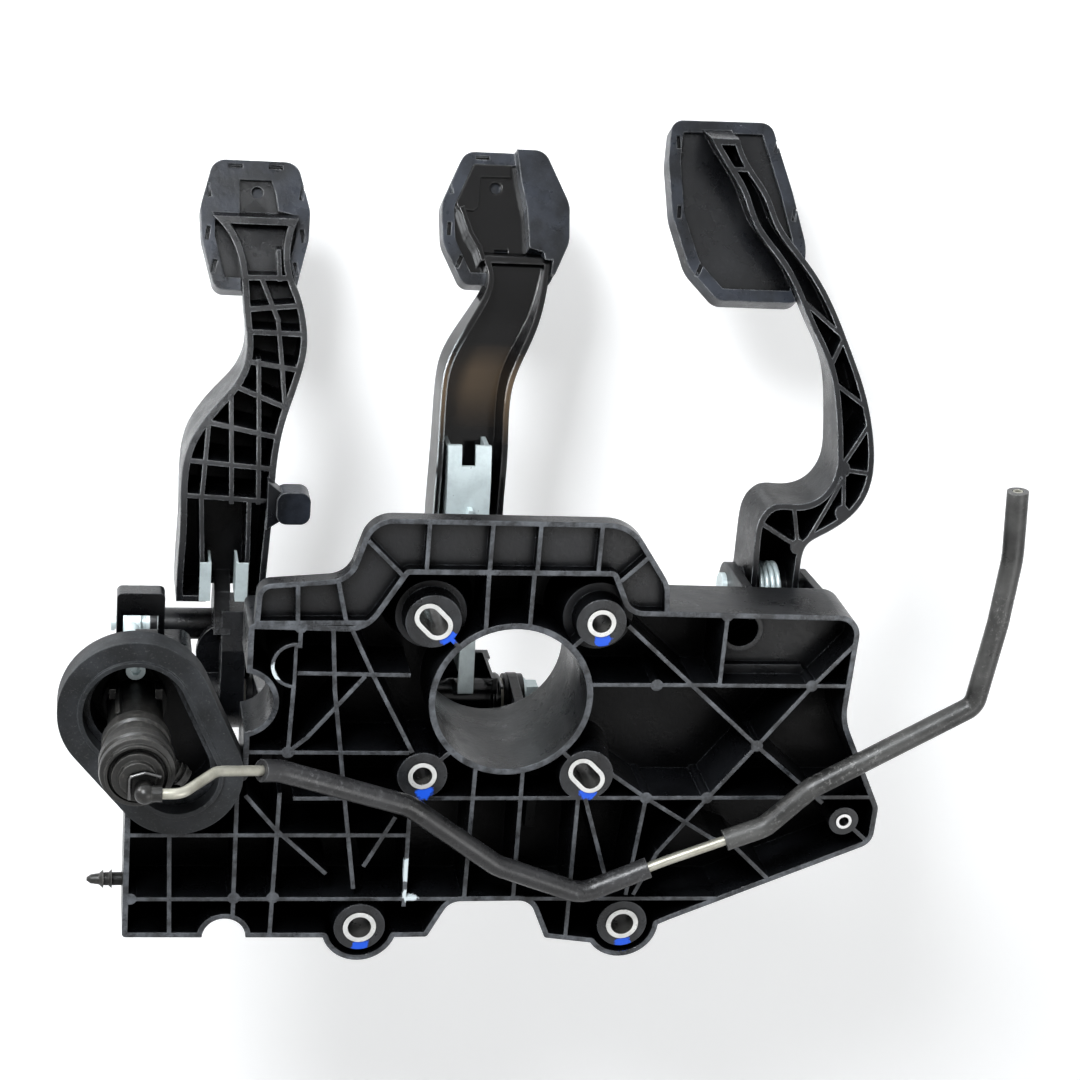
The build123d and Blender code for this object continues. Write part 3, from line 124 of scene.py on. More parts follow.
class Graph:
    """A node tree with short methods that add and join nodes."""

    def __init__(self, tree: bpy.types.NodeTree) -> None:
        """Starts with an empty tree.

        Args:
            tree: The tree of a material or a world.
        """
        self.tree = tree
        self.tree.nodes.clear()

    def add(self, kind: str, **settings: object) -> bpy.types.Node:
        """Adds one node.

        Args:
            kind: The node's type name.
            **settings: Attributes set on the node.

        Returns:
            The new node.
        """
        node = self.tree.nodes.new(kind)
        for key, value in settings.items():
            setattr(node, key, value)
        return node

    def join(self, source: Socket, target: Socket) -> None:
        """Links two sockets."""
        self.tree.links.new(source, target)

    def remap(self, source: Socket, low: float, high: float,
              to_low: float = 0.0, to_high: float = 1.0) -> Socket:
        """Stretches a value's range and clamps it.

        Args:
            source: The value.
            low: Value that becomes to_low.
            high: Value that becomes to_high.
            to_low: Lower result.
            to_high: Upper result.

        Returns:
            The stretched value's socket.
        """
        node = self.add("ShaderNodeMapRange")
        node.inputs["From Min"].default_value = low
        node.inputs["From Max"].default_value = high
        node.inputs["To Min"].default_value = to_low
        node.inputs["To Max"].default_value = to_high
        self.join(source, node.inputs["Value"])
        return node.outputs["Result"]

    def mix_shaders(self, factor: Socket, first: bpy.types.Node, second: bpy.types.Node) -> bpy.types.Node:
        """Mixes two shaders.

        Args:
            factor: Share of the second shader.
            first: Shader at 0.
            second: Shader at 1.

        Returns:
            The node that mixes them.
        """
        node = self.add("ShaderNodeMixShader")
        self.join(factor, node.inputs[0])
        self.join(first.outputs[0], node.inputs[1])
        self.join(second.outputs[0], node.inputs[2])
        return node

    def any_of(self, masks: list[Socket]) -> Socket:
        """Joins several masks.

        Args:
            masks: One mask or more.

        Returns:
            The socket of the greatest of them.
        """
        most = masks[0]
        for mask in masks[1:]:
            node = self.add("ShaderNodeMath", operation="MAXIMUM")
            self.join(most, node.inputs[0])
            self.join(mask, node.inputs[1])
            most = node.outputs[0]
        return most

    def backdrop_rays(self) -> Socket:
        """Picks the rays that show the backdrop: the camera's, and those that metal or glass turns.

        Returns:
            A socket that is 1 for such rays and 0 for all others.
        """
        rays = self.add("ShaderNodeLightPath")
        kinds = ("Is Camera Ray", "Is Glossy Ray", "Is Transmission Ray")
        return self.any_of([rays.outputs[kind] for kind in kinds])


class SurfaceGraph(Graph):
    """The node tree of one material, with masks that tell where on the part a point lies."""

    def __init__(self, name: str, edge_radius: float = 0.0005) -> None:
        """Starts an empty material.

        Args:
            name: The material's name.
            edge_radius: How far its sharp edges look rounded, in metres.
        """
        self.edge_radius = edge_radius
        self.bevel: bpy.types.Node | None = None
        self.material = bpy.data.materials.new(name)
        self.material.use_nodes = True
        super().__init__(self.material.node_tree)
        self.output = self.add("ShaderNodeOutputMaterial")

    def place(self) -> Socket:
        """Where the point lies, in metres in the row frame."""
        return self.add("ShaderNodeTexCoord").outputs["Object"]

    def noise(self, scale: float, detail: float = 6.0, rough: float = 0.6) -> Socket:
        """Adds noise that is fixed to the part.

        Args:
            scale: Repeats per metre.
            detail: Octaves.
            rough: Weight of the finer octaves.

        Returns:
            The noise's socket.
        """
        noise = self.add("ShaderNodeTexNoise")
        noise.inputs["Scale"].default_value = scale
        noise.inputs["Detail"].default_value = detail
        noise.inputs["Roughness"].default_value = rough
        self.join(self.place(), noise.inputs["Vector"])
        return noise.outputs["Fac"]

    def mask(self, pattern: Pattern, least: float = 0.0, most: float = 1.0) -> Socket:
        """Turns a pattern into a mask.

        Args:
            pattern: The pattern.
            least: Value where it is absent.
            most: Value where it is full.

        Returns:
            The mask's socket.
        """
        noise = self.noise(pattern.scale, pattern.detail, pattern.rough)
        return self.remap(noise, pattern.low, pattern.high, least, most)

    def blend(self, factor: Socket, first: Socket | Colour, second: Socket | Colour) -> Socket:
        """Mixes two colours, each a socket or a colour.

        Args:
            factor: Share of the second colour.
            first: Colour at 0.
            second: Colour at 1.

        Returns:
            The mixed colour's socket.
        """
        node = self.add("ShaderNodeMix", data_type="RGBA")
        self.join(factor, node.inputs[0])
        for slot, colour in zip(MIX_COLOURS, (first, second)):
            if isinstance(colour, tuple):
                node.inputs[slot].default_value = (*colour, 1.0)
            else:
                self.join(colour, node.inputs[slot])
        return node.outputs[MIX_RESULT]

    def multiply(self, first: Socket, second: Socket) -> Socket:
        """Multiplies two values.

        Args:
            first: One value.
            second: The other.

        Returns:
            The product's socket.
        """
        node = self.add("ShaderNodeMath", operation="MULTIPLY")
        self.join(first, node.inputs[0])
        self.join(second, node.inputs[1])
        return node.outputs[0]

    def bevel_normal(self) -> Socket:
        """The normal of the rounded edges, from one Bevel node that the whole tree shares.

        Returns:
            The normal's socket.
        """
        if self.bevel is None:
            self.bevel = self.add("ShaderNodeBevel", samples=EDGE_SAMPLES)
            self.bevel.inputs["Radius"].default_value = self.edge_radius
        return self.bevel.outputs["Normal"]

    def edges(self) -> Socket:
        """Masks the sharp edges.

        Returns:
            A socket that is 1 on them and 0 on flat faces.
        """
        geometry = self.add("ShaderNodeNewGeometry")
        dot = self.add("ShaderNodeVectorMath", operation="DOT_PRODUCT")
        self.join(self.bevel_normal(), dot.inputs[0])
        self.join(geometry.outputs["Normal"], dot.inputs[1])
        return self.remap(dot.outputs["Value"], *EDGE_COSINES)

    def hollows(self, distance: float) -> Socket:
        """Masks the places deep between walls and ribs, which the finishes darken with painted shade.

        Args:
            distance: How far away a wall still counts, in metres.

        Returns:
            A socket that is 1 there and 0 on open faces.
        """
        node = self.add("ShaderNodeAmbientOcclusion", samples=HOLLOW_SAMPLES)
        node.inputs["Distance"].default_value = distance
        return self.remap(node.outputs["AO"], *HOLLOW_OPENNESS)

    def along(self, axis: Axis, span: Span) -> Socket:
        """A ramp along one axis of the row frame.

        Args:
            axis: The axis.
            span: Metres at which the ramp is 0, and at which it is 1.

        Returns:
            The ramp's socket.
        """
        split = self.add("ShaderNodeSeparateXYZ")
        self.join(self.place(), split.inputs[0])
        return self.remap(split.outputs[axis.value], *span)

    def facing(self, direction: Place, cosines: Span) -> Socket:
        """Masks the faces that look one way in the row frame.

        Args:
            direction: The way, as a unit vector.
            cosines: Cosine at which the mask is 0, and at which it is 1.

        Returns:
            The mask's socket.
        """
        geometry = self.add("ShaderNodeNewGeometry")
        dot = self.add("ShaderNodeVectorMath", operation="DOT_PRODUCT")
        self.join(geometry.outputs["Normal"], dot.inputs[0])
        dot.inputs[1].default_value = direction
        return self.remap(dot.outputs["Value"], *cosines)

    def distance(self, centre: Place) -> Socket:
        """Measures how far the point is from a place.

        Args:
            centre: The place in the row frame.

        Returns:
            The distance's socket, in metres.
        """
        away = self.add("ShaderNodeVectorMath", operation="DISTANCE")
        self.join(self.place(), away.inputs[0])
        away.inputs[1].default_value = centre
        return away.outputs["Value"]

    def disc(self, centre: Place, radius: float) -> Socket:
        """Masks all that lies within a radius of a place.

        Args:
            centre: The place in the row frame.
            radius: The radius in metres.

        Returns:
            The mask's socket.
        """
        outer, inner = DISC_RIM
        return self.remap(self.distance(centre), radius * outer, radius * inner)

    def dab(self, centre: Place, radius: float) -> Socket:
        """Masks a dab with a ragged rim.

        Args:
            centre: Its middle in the row frame.
            radius: Its radius in metres.

        Returns:
            The mask's socket.
        """
        outer, inner = DAB_RIM
        ragged = self.add("ShaderNodeMath", operation="MULTIPLY_ADD")
        self.join(self.noise(DAB_NOISE_SCALE, DAB_NOISE_DETAIL), ragged.inputs[0])
        ragged.inputs[1].default_value = -DAB_RAGGEDNESS * radius
        self.join(self.distance(centre), ragged.inputs[2])
        return self.remap(ragged.outputs[0], radius * outer, radius * inner)

    def surface(self) -> bpy.types.Node:
        """Adds the shader and joins it to the output.

        Returns:
            The principled shader.
        """
        shader = self.add("ShaderNodeBsdfPrincipled")
        self.join(shader.outputs["BSDF"], self.output.inputs["Surface"])
        return shader

    def sheen(self, shader: bpy.types.Node, roughness: float, sheen: Sheen) -> None:
        """Gives the shader a roughness that changes from place to place.

        Args:
            shader: The principled shader.
            roughness: Its mean.
            sheen: How much it changes.
        """
        rough = self.mask(sheen.pattern, roughness - sheen.smoother, roughness + sheen.rougher)
        self.join(rough, shader.inputs["Roughness"])

    def bump(self, shader: bpy.types.Node, texture: Texture) -> None:
        """Gives the shader a bumpy normal with softened edges.

        Args:
            shader: The principled shader.
            texture: The bumps.
        """
        node = self.add("ShaderNodeBump")
        node.inputs["Strength"].default_value = texture.strength
        node.inputs["Distance"].default_value = texture.depth
        self.join(self.noise(texture.grain.value, texture.detail, texture.rough), node.inputs["Height"])
        self.join(self.bevel_normal(), node.inputs["Normal"])
        self.join(node.outputs["Normal"], shader.inputs["Normal"])


@dataclass(frozen=True)
class Dabs:
    """Dabs of marking paint on a moulding."""

    colour: Colour
    places: tuple[Place, ...]
    radius: float = 0.0042

    def mask(self, graph: SurfaceGraph) -> Socket:
        """Masks all the dabs in a material."""
        return graph.any_of([graph.dab(place, self.radius) for place in self.places])


@dataclass(frozen=True)
class FrontPlane:
    """The bracket's mating plane: rims lightened as wear and painted highlight, darker collars round the
    sleeves, painted shade on the cell floors.
    """

    collars: tuple[Place, ...]
    collar_radius: float = 0.0165
    collar_rubbed_and_highlit: float = 0.16
    rim_depth: Span = (0.0012, 0.0004)
    rim_cosines: Span = (0.6, 0.9)
    # Noise that breaks up the lightened rims, with its least and most share; the lightening is wear and
    # painted highlight.
    rubbing_and_highlight: Pattern = Pattern(95.0, 0.42, 0.62, 8.0, 0.75)
    least_rubbed_and_highlit: float = 0.10
    most_rubbed_and_highlit: float = 0.85
    # Painted shade on the cell floors: the depths at which it starts and is full, which way the floors face,
    # and how dark it gets.
    floor_depth: Span = (0.010, 0.022)
    floor_cosines: Span = (0.5, 0.9)
    floor_shade: float = 0.8

    def rubbed_and_highlit(self, graph: SurfaceGraph) -> Socket:
        """Masks the lightened parts of the rims, as wear and painted highlight.

        Args:
            graph: The material's tree.

        Returns:
            The mask's socket.
        """
        ahead = graph.along(Axis.Y, self.rim_depth)
        rims = graph.multiply(ahead, graph.facing(FORWARD, self.rim_cosines))
        collars = graph.any_of([graph.disc(place, self.collar_radius) for place in self.collars])
        rims = graph.multiply(rims, graph.remap(collars, 0.0, 1.0, 1.0, self.collar_rubbed_and_highlit))
        return graph.multiply(rims, graph.mask(self.rubbing_and_highlight, self.least_rubbed_and_highlit, self.most_rubbed_and_highlit))

    def floors(self, graph: SurfaceGraph) -> Socket:
        """Masks the floors of the cells, which take painted shade.

        Args:
            graph: The material's tree.

        Returns:
            The mask's socket, no more than the floors' shade.
        """
        deep = graph.along(Axis.Y, self.floor_depth)
        floors = graph.multiply(deep, graph.facing(FORWARD, self.floor_cosines))
        return graph.remap(floors, 0.0, 1.0, 0.0, self.floor_shade)


@dataclass(frozen=True)
class Moulding:
    """Black glass-filled moulding with handling marks, pale worn edges and painted shade in its hollows."""

    look: Look
    dark: Colour = (0.0030, 0.0032, 0.0038)
    light: Colour = (0.0090, 0.0098, 0.0118)
    # Painted shade that darkens the hollows.
    shade: Colour = (0.0004, 0.0004, 0.0005)
    dust: Colour = (0.055, 0.058, 0.062)
    worn: Colour = (0.125, 0.133, 0.145)
    dusty: float = 0.45
    least_worn: float = 0.15
    most_worn: float = 0.75
    open_gloss: float = 0.40
    hollow_gloss: float = 0.04
    roughness: float = 0.30
    edge_radius: float = 0.0009
    hollow_reach: float = 0.032
    mottle: Pattern = Pattern(26.0, 0.35, 0.7)
    scuffs: Pattern = Pattern(Grain.MEDIUM.value, 0.54, 0.74, 8.0, 0.75)
    patches: Pattern = Pattern(16.0, 0.46, 0.64, 4.0)
    wear: Pattern = Pattern(95.0, 0.42, 0.60, 8.0, 0.75)
    sheen: Sheen = Sheen(Pattern(55.0, 0.3, 0.7), 0.12, 0.14)
    texture: Texture = Texture(Grain.MEDIUM, 0.35, 0.0004, 6.0, 0.7)
    front: FrontPlane | None = None
    dabs: tuple[Dabs, ...] = ()

    def build(self) -> bpy.types.Material:
        """Builds the finish.

        Returns:
            The material.
        """
        graph = SurfaceGraph(self.look.value, self.edge_radius)
        shader = graph.surface()
        base = graph.blend(graph.mask(self.mottle), self.dark, self.light)
        dusty = graph.multiply(graph.mask(self.scuffs, 0.0, self.dusty), graph.mask(self.patches))
        base = graph.blend(dusty, base, self.dust)
        worn = graph.multiply(graph.edges(), graph.mask(self.wear, self.least_worn, self.most_worn))
        base = graph.blend(worn, base, self.worn)
        # Painted shade: the hollows, and on the bracket the cell floors, turn near black and lose most of
        # their gloss.
        hollow = graph.hollows(self.hollow_reach)
        if self.front:
            # The rims on the mating plane take the worn colour, as wear and painted highlight.
            base = graph.blend(self.front.rubbed_and_highlit(graph), base, self.worn)
            hollow = graph.any_of([hollow, self.front.floors(graph)])
        base = graph.blend(hollow, base, self.shade)
        for dabs in self.dabs:
            base = graph.blend(dabs.mask(graph), base, dabs.colour)
        graph.join(base, shader.inputs["Base Color"])
        gloss = graph.remap(hollow, 0.0, 1.0, self.open_gloss, self.hollow_gloss)
        graph.join(gloss, shader.inputs["Specular IOR Level"])
        graph.sheen(shader, self.roughness, self.sheen)
        graph.bump(shader, self.texture)
        return graph.material


@dataclass(frozen=True)
class Rubber:
    """Satin or matt rubber or soft plastic with dust specks and worn edges."""

    look: Look
    dark: Colour
    light: Colour
    dust: Colour
    worn: Colour
    dusty: float
    least_worn: float = 0.05
    most_worn: float = 0.5
    gloss: float = 0.32
    roughness: float = 0.60
    edge_radius: float = 0.0009
    mottle: Pattern = Pattern(45.0, 0.40, 0.62, 5.0)
    specks: Pattern = Pattern(Grain.FINE.value, 0.57, 0.7, 8.0, 0.8)
    wear: Pattern = Pattern(110.0, 0.4, 0.62, 6.0, 0.7)
    sheen: Sheen = Sheen(Pattern(80.0, 0.3, 0.7), 0.08, 0.10)
    texture: Texture = Texture(Grain.MEDIUM, 0.25, 0.0003)

    def build(self) -> bpy.types.Material:
        """Builds the finish.

        Returns:
            The material.
        """
        graph = SurfaceGraph(self.look.value, self.edge_radius)
        shader = graph.surface()
        base = graph.blend(graph.mask(self.mottle), self.dark, self.light)
        base = graph.blend(graph.mask(self.specks, 0.0, self.dusty), base, self.dust)
        worn = graph.multiply(graph.edges(), graph.mask(self.wear, self.least_worn, self.most_worn))
        base = graph.blend(worn, base, self.worn)
        graph.join(base, shader.inputs["Base Color"])
        shader.inputs["Specular IOR Level"].default_value = self.gloss
        graph.sheen(shader, self.roughness, self.sheen)
        graph.bump(shader, self.texture)
        return graph.material


@dataclass(frozen=True)
class Metal:
    """Plated or bare metal with faint stains, and painted shade where it doesn't face forward."""

    look: Look
    light: Colour
    dark: Colour
    # Painted shade on the faces that don't face forward: its colour, its share and the cosines over which it
    # fades.
    side_shade: Colour = (0.03, 0.028, 0.024)
    side_shade_share: float = 0.0
    side_shade_cosines: Span = (0.2, 0.7)
    stained: float = 0.6
    metallic: float = 1.0
    roughness: float = 0.32
    edge_radius: float = 0.0003
    stains: Pattern = Pattern(120.0, 0.42, 0.68, 8.0, 0.65)
    sheen: Sheen = Sheen(Pattern(240.0, 0.3, 0.7), 0.08, 0.12)
    texture: Texture = Texture(Grain.MEDIUM, 0.12, 0.0001, 5.0)

    def build(self) -> bpy.types.Material:
        """Builds the finish.

        Returns:
            The material.
        """
        graph = SurfaceGraph(self.look.value, self.edge_radius)
        shader = graph.surface()
        base = graph.blend(graph.mask(self.stains, 0.0, self.stained), self.light, self.dark)
        # Painted shade where the faces turn away from forward.
        if self.side_shade_share:
            facing_forward = graph.facing(FORWARD, self.side_shade_cosines)
            base = graph.blend(graph.remap(facing_forward, 0.0, 1.0, self.side_shade_share, 0.0), base, self.side_shade)
        graph.join(base, shader.inputs["Base Color"])
        shader.inputs["Metallic"].default_value = self.metallic
        graph.sheen(shader, self.roughness, self.sheen)
        graph.bump(shader, self.texture)
        return graph.material


@dataclass(frozen=True)
class GlossPaint:
    """Black dip paint with a painted amber reflection in a band on the brake arm, a painted highlight along
    its outer edge and painted shade in its hollows.
    """

    look: Look
    colour: Colour = (0.0035, 0.0034, 0.0036)
    dust: Colour = (0.05, 0.045, 0.04)
    dusty: float = 0.3
    # Painted amber reflection on the forward faces between these heights.
    painted_reflection: Colour = (0.085, 0.058, 0.034)
    painted_reflection_lower_end: Span = (-0.134, -0.120)
    painted_reflection_upper_end: Span = (-0.090, -0.112)
    painted_reflection_cosines: Span = (0.4, 0.95)
    chipped: Colour = (0.12, 0.12, 0.125)
    chipped_share: float = 0.5
    # Painted highlight: a pale streak along the arm's outer side.
    painted_highlight: Colour = (0.68, 0.74, 0.76)
    painted_highlight_side: Span = (0.013, 0.020)
    # Painted shade that darkens the hollows.
    shade: Colour = (0.0006, 0.0006, 0.0006)
    flat_gloss: float = 0.28
    edge_gloss: float = 1.0
    roughness: float = 0.10
    edge_radius: float = 0.0014
    hollow_reach: float = 0.03
    specks: Pattern = Pattern(Grain.MEDIUM.value, 0.6, 0.74, 8.0, 0.8)
    chips: Pattern = Pattern(60.0, 0.5, 0.7)
    painted_highlight_streaks: Pattern = Pattern(30.0, 0.42, 0.50, 3.0)
    sheen: Sheen = Sheen(Pattern(70.0, 0.3, 0.7), 0.05, 0.12)
    texture: Texture = Texture(Grain.COARSE, 0.12, 0.0004, 2.0)

    def build(self) -> bpy.types.Material:
        """Builds the finish.

        Returns:
            The material.
        """
        graph = SurfaceGraph(self.look.value, self.edge_radius)
        shader = graph.surface()
        base = graph.blend(graph.mask(self.specks, 0.0, self.dusty), self.colour, self.dust)
        # Painted amber reflection across the arm.
        lower_end = graph.along(Axis.Z, self.painted_reflection_lower_end)
        upper_end = graph.along(Axis.Z, self.painted_reflection_upper_end)
        band = graph.multiply(graph.multiply(lower_end, upper_end), graph.facing(FORWARD, self.painted_reflection_cosines))
        base = graph.blend(band, base, self.painted_reflection)
        edges = graph.edges()
        chips = graph.multiply(edges, graph.mask(self.chips, 0.0, self.chipped_share))
        base = graph.blend(chips, base, self.chipped)
        # Painted highlight along the edges of the outer side.
        painted_highlight_streaks = graph.multiply(edges, graph.mask(self.painted_highlight_streaks))
        base = graph.blend(graph.multiply(painted_highlight_streaks, graph.along(Axis.X, self.painted_highlight_side)), base, self.painted_highlight)
        # Painted shade in the hollows.
        base = graph.blend(graph.hollows(self.hollow_reach), base, self.shade)
        graph.join(base, shader.inputs["Base Color"])
        gloss = graph.remap(edges, 0.0, 1.0, self.flat_gloss, self.edge_gloss)
        graph.join(gloss, shader.inputs["Specular IOR Level"])
        graph.sheen(shader, self.roughness, self.sheen)
        graph.bump(shader, self.texture)
        return graph.material


Finish = Moulding | Rubber | Metal | GlossPaint


def front_places(points: tuple[Span, ...]) -> tuple[Place, ...]:
    """Sets points into the bracket's mating plane.

    Args:
        points: Their X and Z in metres.

    Returns:
        The places in the row frame.
    """
    return tuple((x, 0.0, z) for x, z in points)


# The middles of the collars round the stud sleeves, the upper bolt sleeves and the threaded insert.
COLLARS = front_places(((0.04, 0.04), (0.04, -0.04), (-0.04, 0.04), (-0.04, -0.04),
                        (0.0655, 0.122), (-0.0655, 0.122), (-0.173, 0.0656)))

BLUE_DABS = Dabs((0.012, 0.10, 0.72), front_places(((0.0385, 0.0485), (0.0325, -0.0315),
                                                    (-0.0415, -0.0310), (-0.0416, 0.0490),
                                                    (0.0645, 0.1325), (-0.0670, 0.1335))))

WHITE_DABS = Dabs((0.72, 0.80, 0.82), front_places(((0.1116, -0.0142), (0.0442, 0.0887),
                                                    (0.0450, 0.0930), (0.0417, 0.1047))))

FINISH_LIST: tuple[Finish, ...] = (
    Moulding(Look.MOULDING, worn=(0.135, 0.145, 0.160), dusty=0.32, front=FrontPlane(COLLARS),
             dabs=(BLUE_DABS, WHITE_DABS)),
    Moulding(Look.CLUTCH_MOULDING, worn=(0.30, 0.31, 0.32), most_worn=0.95, roughness=0.28),
    Moulding(Look.ACCELERATOR_MOULDING, worn=(0.42, 0.44, 0.46), most_worn=1.0, roughness=0.28),
    Moulding(Look.CYLINDER_MOULDING, dark=(0.006, 0.006, 0.0058), light=(0.022, 0.021, 0.019),
             dust=(0.15, 0.142, 0.125), worn=(0.14, 0.135, 0.125), dusty=0.8, roughness=0.36),
    Moulding(Look.INNER_PIPE_SLEEVE, dark=(0.006, 0.006, 0.0062), light=(0.040, 0.040, 0.042),
             dust=(0.22, 0.22, 0.225), worn=(0.26, 0.26, 0.27), dusty=0.7, roughness=0.27),
    Moulding(Look.OUTER_PIPE_SLEEVE, dark=(0.014, 0.014, 0.0135), light=(0.10, 0.099, 0.095),
             dust=(0.34, 0.335, 0.325), worn=(0.34, 0.34, 0.33), dusty=1.0, roughness=0.34),
    Rubber(Look.SEAL_RUBBER, dark=(0.006, 0.007, 0.008), light=(0.020, 0.022, 0.025), dust=(0.26, 0.26, 0.25),
           worn=(0.16, 0.17, 0.18), dusty=0.4),
    Rubber(Look.PAD_RUBBER, dark=(0.005, 0.006, 0.008), light=(0.024, 0.028, 0.037),
           dust=(0.15, 0.155, 0.165), worn=(0.36, 0.37, 0.38), dusty=0.25, most_worn=0.8,
           roughness=0.30, texture=Texture(Grain.MEDIUM, 0.5, 0.0003)),
    Metal(Look.SLEEVE_STEEL, light=(0.72, 0.72, 0.70), dark=(0.42, 0.41, 0.39), side_shade_share=0.95, metallic=0.35),
    Metal(Look.ZINC_PLATE, light=(0.66, 0.75, 0.76), dark=(0.36, 0.42, 0.43), stained=0.45, metallic=0.35,
          roughness=0.34),
    Metal(Look.SPRING_STEEL, light=(0.16, 0.16, 0.16), dark=(0.05, 0.05, 0.05), roughness=0.3),
    Metal(Look.PIPE_STEEL, light=(0.42, 0.41, 0.35), dark=(0.22, 0.21, 0.16), metallic=0.6, roughness=0.34),
    Metal(Look.INSERT_STEEL, light=(0.6, 0.6, 0.6), dark=(0.25, 0.25, 0.24), side_shade_share=0.6),
    Rubber(Look.BUSH_PLASTIC, dark=(0.42, 0.4, 0.34), light=(0.52, 0.5, 0.44), dust=(0.3, 0.28, 0.22),
           worn=(0.6, 0.58, 0.5), dusty=0.3, roughness=0.45, edge_radius=0.0003),
    GlossPaint(Look.BLACK_PAINT),
)


class Finishes:
    """The part's materials, each made once and handed out by its look."""

    def __init__(self, finish_list: tuple[Finish, ...]) -> None:
        """Builds every finish."""
        self.made = {finish.look: finish.build() for finish in finish_list}

    def dress(self, obj: bpy.types.Object, look: Look) -> None:
        """Puts a finish on an object in place of what it has."""
        obj.data.materials.clear()
        obj.data.materials.append(self.made[look])


@dataclass
class SubAssembly:
    """CAD nodes that belong together, each with the finish that it wears."""

    title: str
    looks: dict[str, Look]

    def dress(self, finishes: Finishes) -> int:
        """Dresses each node.

        Args:
            finishes: The part's materials.

        Returns:
            How many nodes were dressed.
        """
        for node, look in self.looks.items():
            finishes.dress(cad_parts[node], look)
            LOG.info("%s: %s wears %s", self.title, node, look.value)
        return len(self.looks)


@dataclass
class Bracket(SubAssembly):
    """The moulded bracket and the small parts fixed to it."""

    title: str = "bracket"
    looks: dict[str, Look] = field(default_factory=lambda: {
        "pedal_bracket": Look.MOULDING,
        "round_stud_sleeves": Look.SLEEVE_STEEL,
        "slotted_stud_sleeves": Look.SLEEVE_STEEL,
        "upper_bolt_sleeves": Look.SLEEVE_STEEL,
        "threaded_insert": Look.INSERT_STEEL,
        "main_pivot_bolt": Look.ZINC_PLATE,
        "main_pivot_nut": Look.ZINC_PLATE,
        "accelerator_pivot_pin": Look.ZINC_PLATE,
        "accelerator_pin_clip": Look.SPRING_STEEL,
        "harness_clip": Look.CYLINDER_MOULDING,
        "accelerator_spring": Look.ZINC_PLATE,
        "brake_return_spring": Look.SPRING_STEEL,
    })


@dataclass
class Hydraulics(SubAssembly):
    """The clutch master cylinder with its seal, pipe and moving rod."""

    title: str = "hydraulics"
    looks: dict[str, Look] = field(default_factory=lambda: {
        "bulkhead_seal": Look.SEAL_RUBBER,
        "master_cylinder_body": Look.CYLINDER_MOULDING,
        "master_cylinder_cap": Look.CYLINDER_MOULDING,
        "master_cylinder_screws": Look.ZINC_PLATE,
        "feed_nipple": Look.CYLINDER_MOULDING,
        "pipe_union": Look.CYLINDER_MOULDING,
        "union_wire_clip": Look.SPRING_STEEL,
        "clutch_pipe": Look.PIPE_STEEL,
        "pipe_sleeve_inner": Look.INNER_PIPE_SLEEVE,
        "pipe_sleeve_outer": Look.OUTER_PIPE_SLEEVE,
        "clutch_push_rod": Look.ZINC_PLATE,
        "clutch_piston": Look.BUSH_PLASTIC,
    })


@dataclass
class ClutchPedal(SubAssembly):
    """The ribbed moulded clutch pedal."""

    title: str = "clutch pedal"
    looks: dict[str, Look] = field(default_factory=lambda: {
        "clutch_arm": Look.CLUTCH_MOULDING,
        "clutch_pad": Look.PAD_RUBBER,
        "clutch_bushes": Look.BUSH_PLASTIC,
        "clutch_bumper": Look.PAD_RUBBER,
        "clutch_side_plates": Look.ZINC_PLATE,
        "clutch_cross_pin": Look.ZINC_PLATE,
    })


@dataclass
class BrakePedal(SubAssembly):
    """The pressed-steel brake pedal with its zinc bracket."""

    title: str = "brake pedal"
    looks: dict[str, Look] = field(default_factory=lambda: {
        "brake_arm": Look.BLACK_PAINT,
        "brake_pad_carrier": Look.BLACK_PAINT,
        "brake_pad": Look.PAD_RUBBER,
        "brake_rod_bracket": Look.ZINC_PLATE,
        "brake_rod_pin": Look.ZINC_PLATE,
        "brake_hub_tube": Look.BLACK_PAINT,
        "brake_bushes": Look.BUSH_PLASTIC,
    })


@dataclass
class AcceleratorPedal(SubAssembly):
    """The truss-shaped accelerator pedal."""

    title: str = "accelerator pedal"
    looks: dict[str, Look] = field(default_factory=lambda: {
        "accelerator_arm": Look.ACCELERATOR_MOULDING,
        "accelerator_pad": Look.PAD_RUBBER,
        "accelerator_bushes": Look.BUSH_PLASTIC,
    })


@dataclass(frozen=True)
class Camera:
    """The camera at the photo's place, turned as the photo was."""

    place: Place = (0.2064, -1.0387, -0.4844)
    right: Place = (-0.98204, -0.16930, -0.08333)
    down: Place = (-0.01618, -0.36441, 0.93110)
    ahead: Place = (-0.18800, 0.91572, 0.35513)
    focal_px: float = 2450.0
    frame_px: float = 1080.0
    sensor_mm: float = 36.0
    farthest: float = 20.0

    def build(self) -> None:
        """Adds the camera and makes it the scene's."""
        data = bpy.data.cameras.new("photo_camera")
        data.sensor_width = self.sensor_mm
        data.lens = self.focal_px / self.frame_px * self.sensor_mm
        data.clip_end = self.farthest
        camera = bpy.data.objects.new("photo_camera", data)
        bpy.context.scene.collection.objects.link(camera)
        turn = Matrix((Vector(self.right), -Vector(self.down), -Vector(self.ahead))).transposed().to_4x4()
        camera.matrix_world = Matrix.Translation(Vector(self.place)) @ turn
        bpy.context.scene.camera = camera


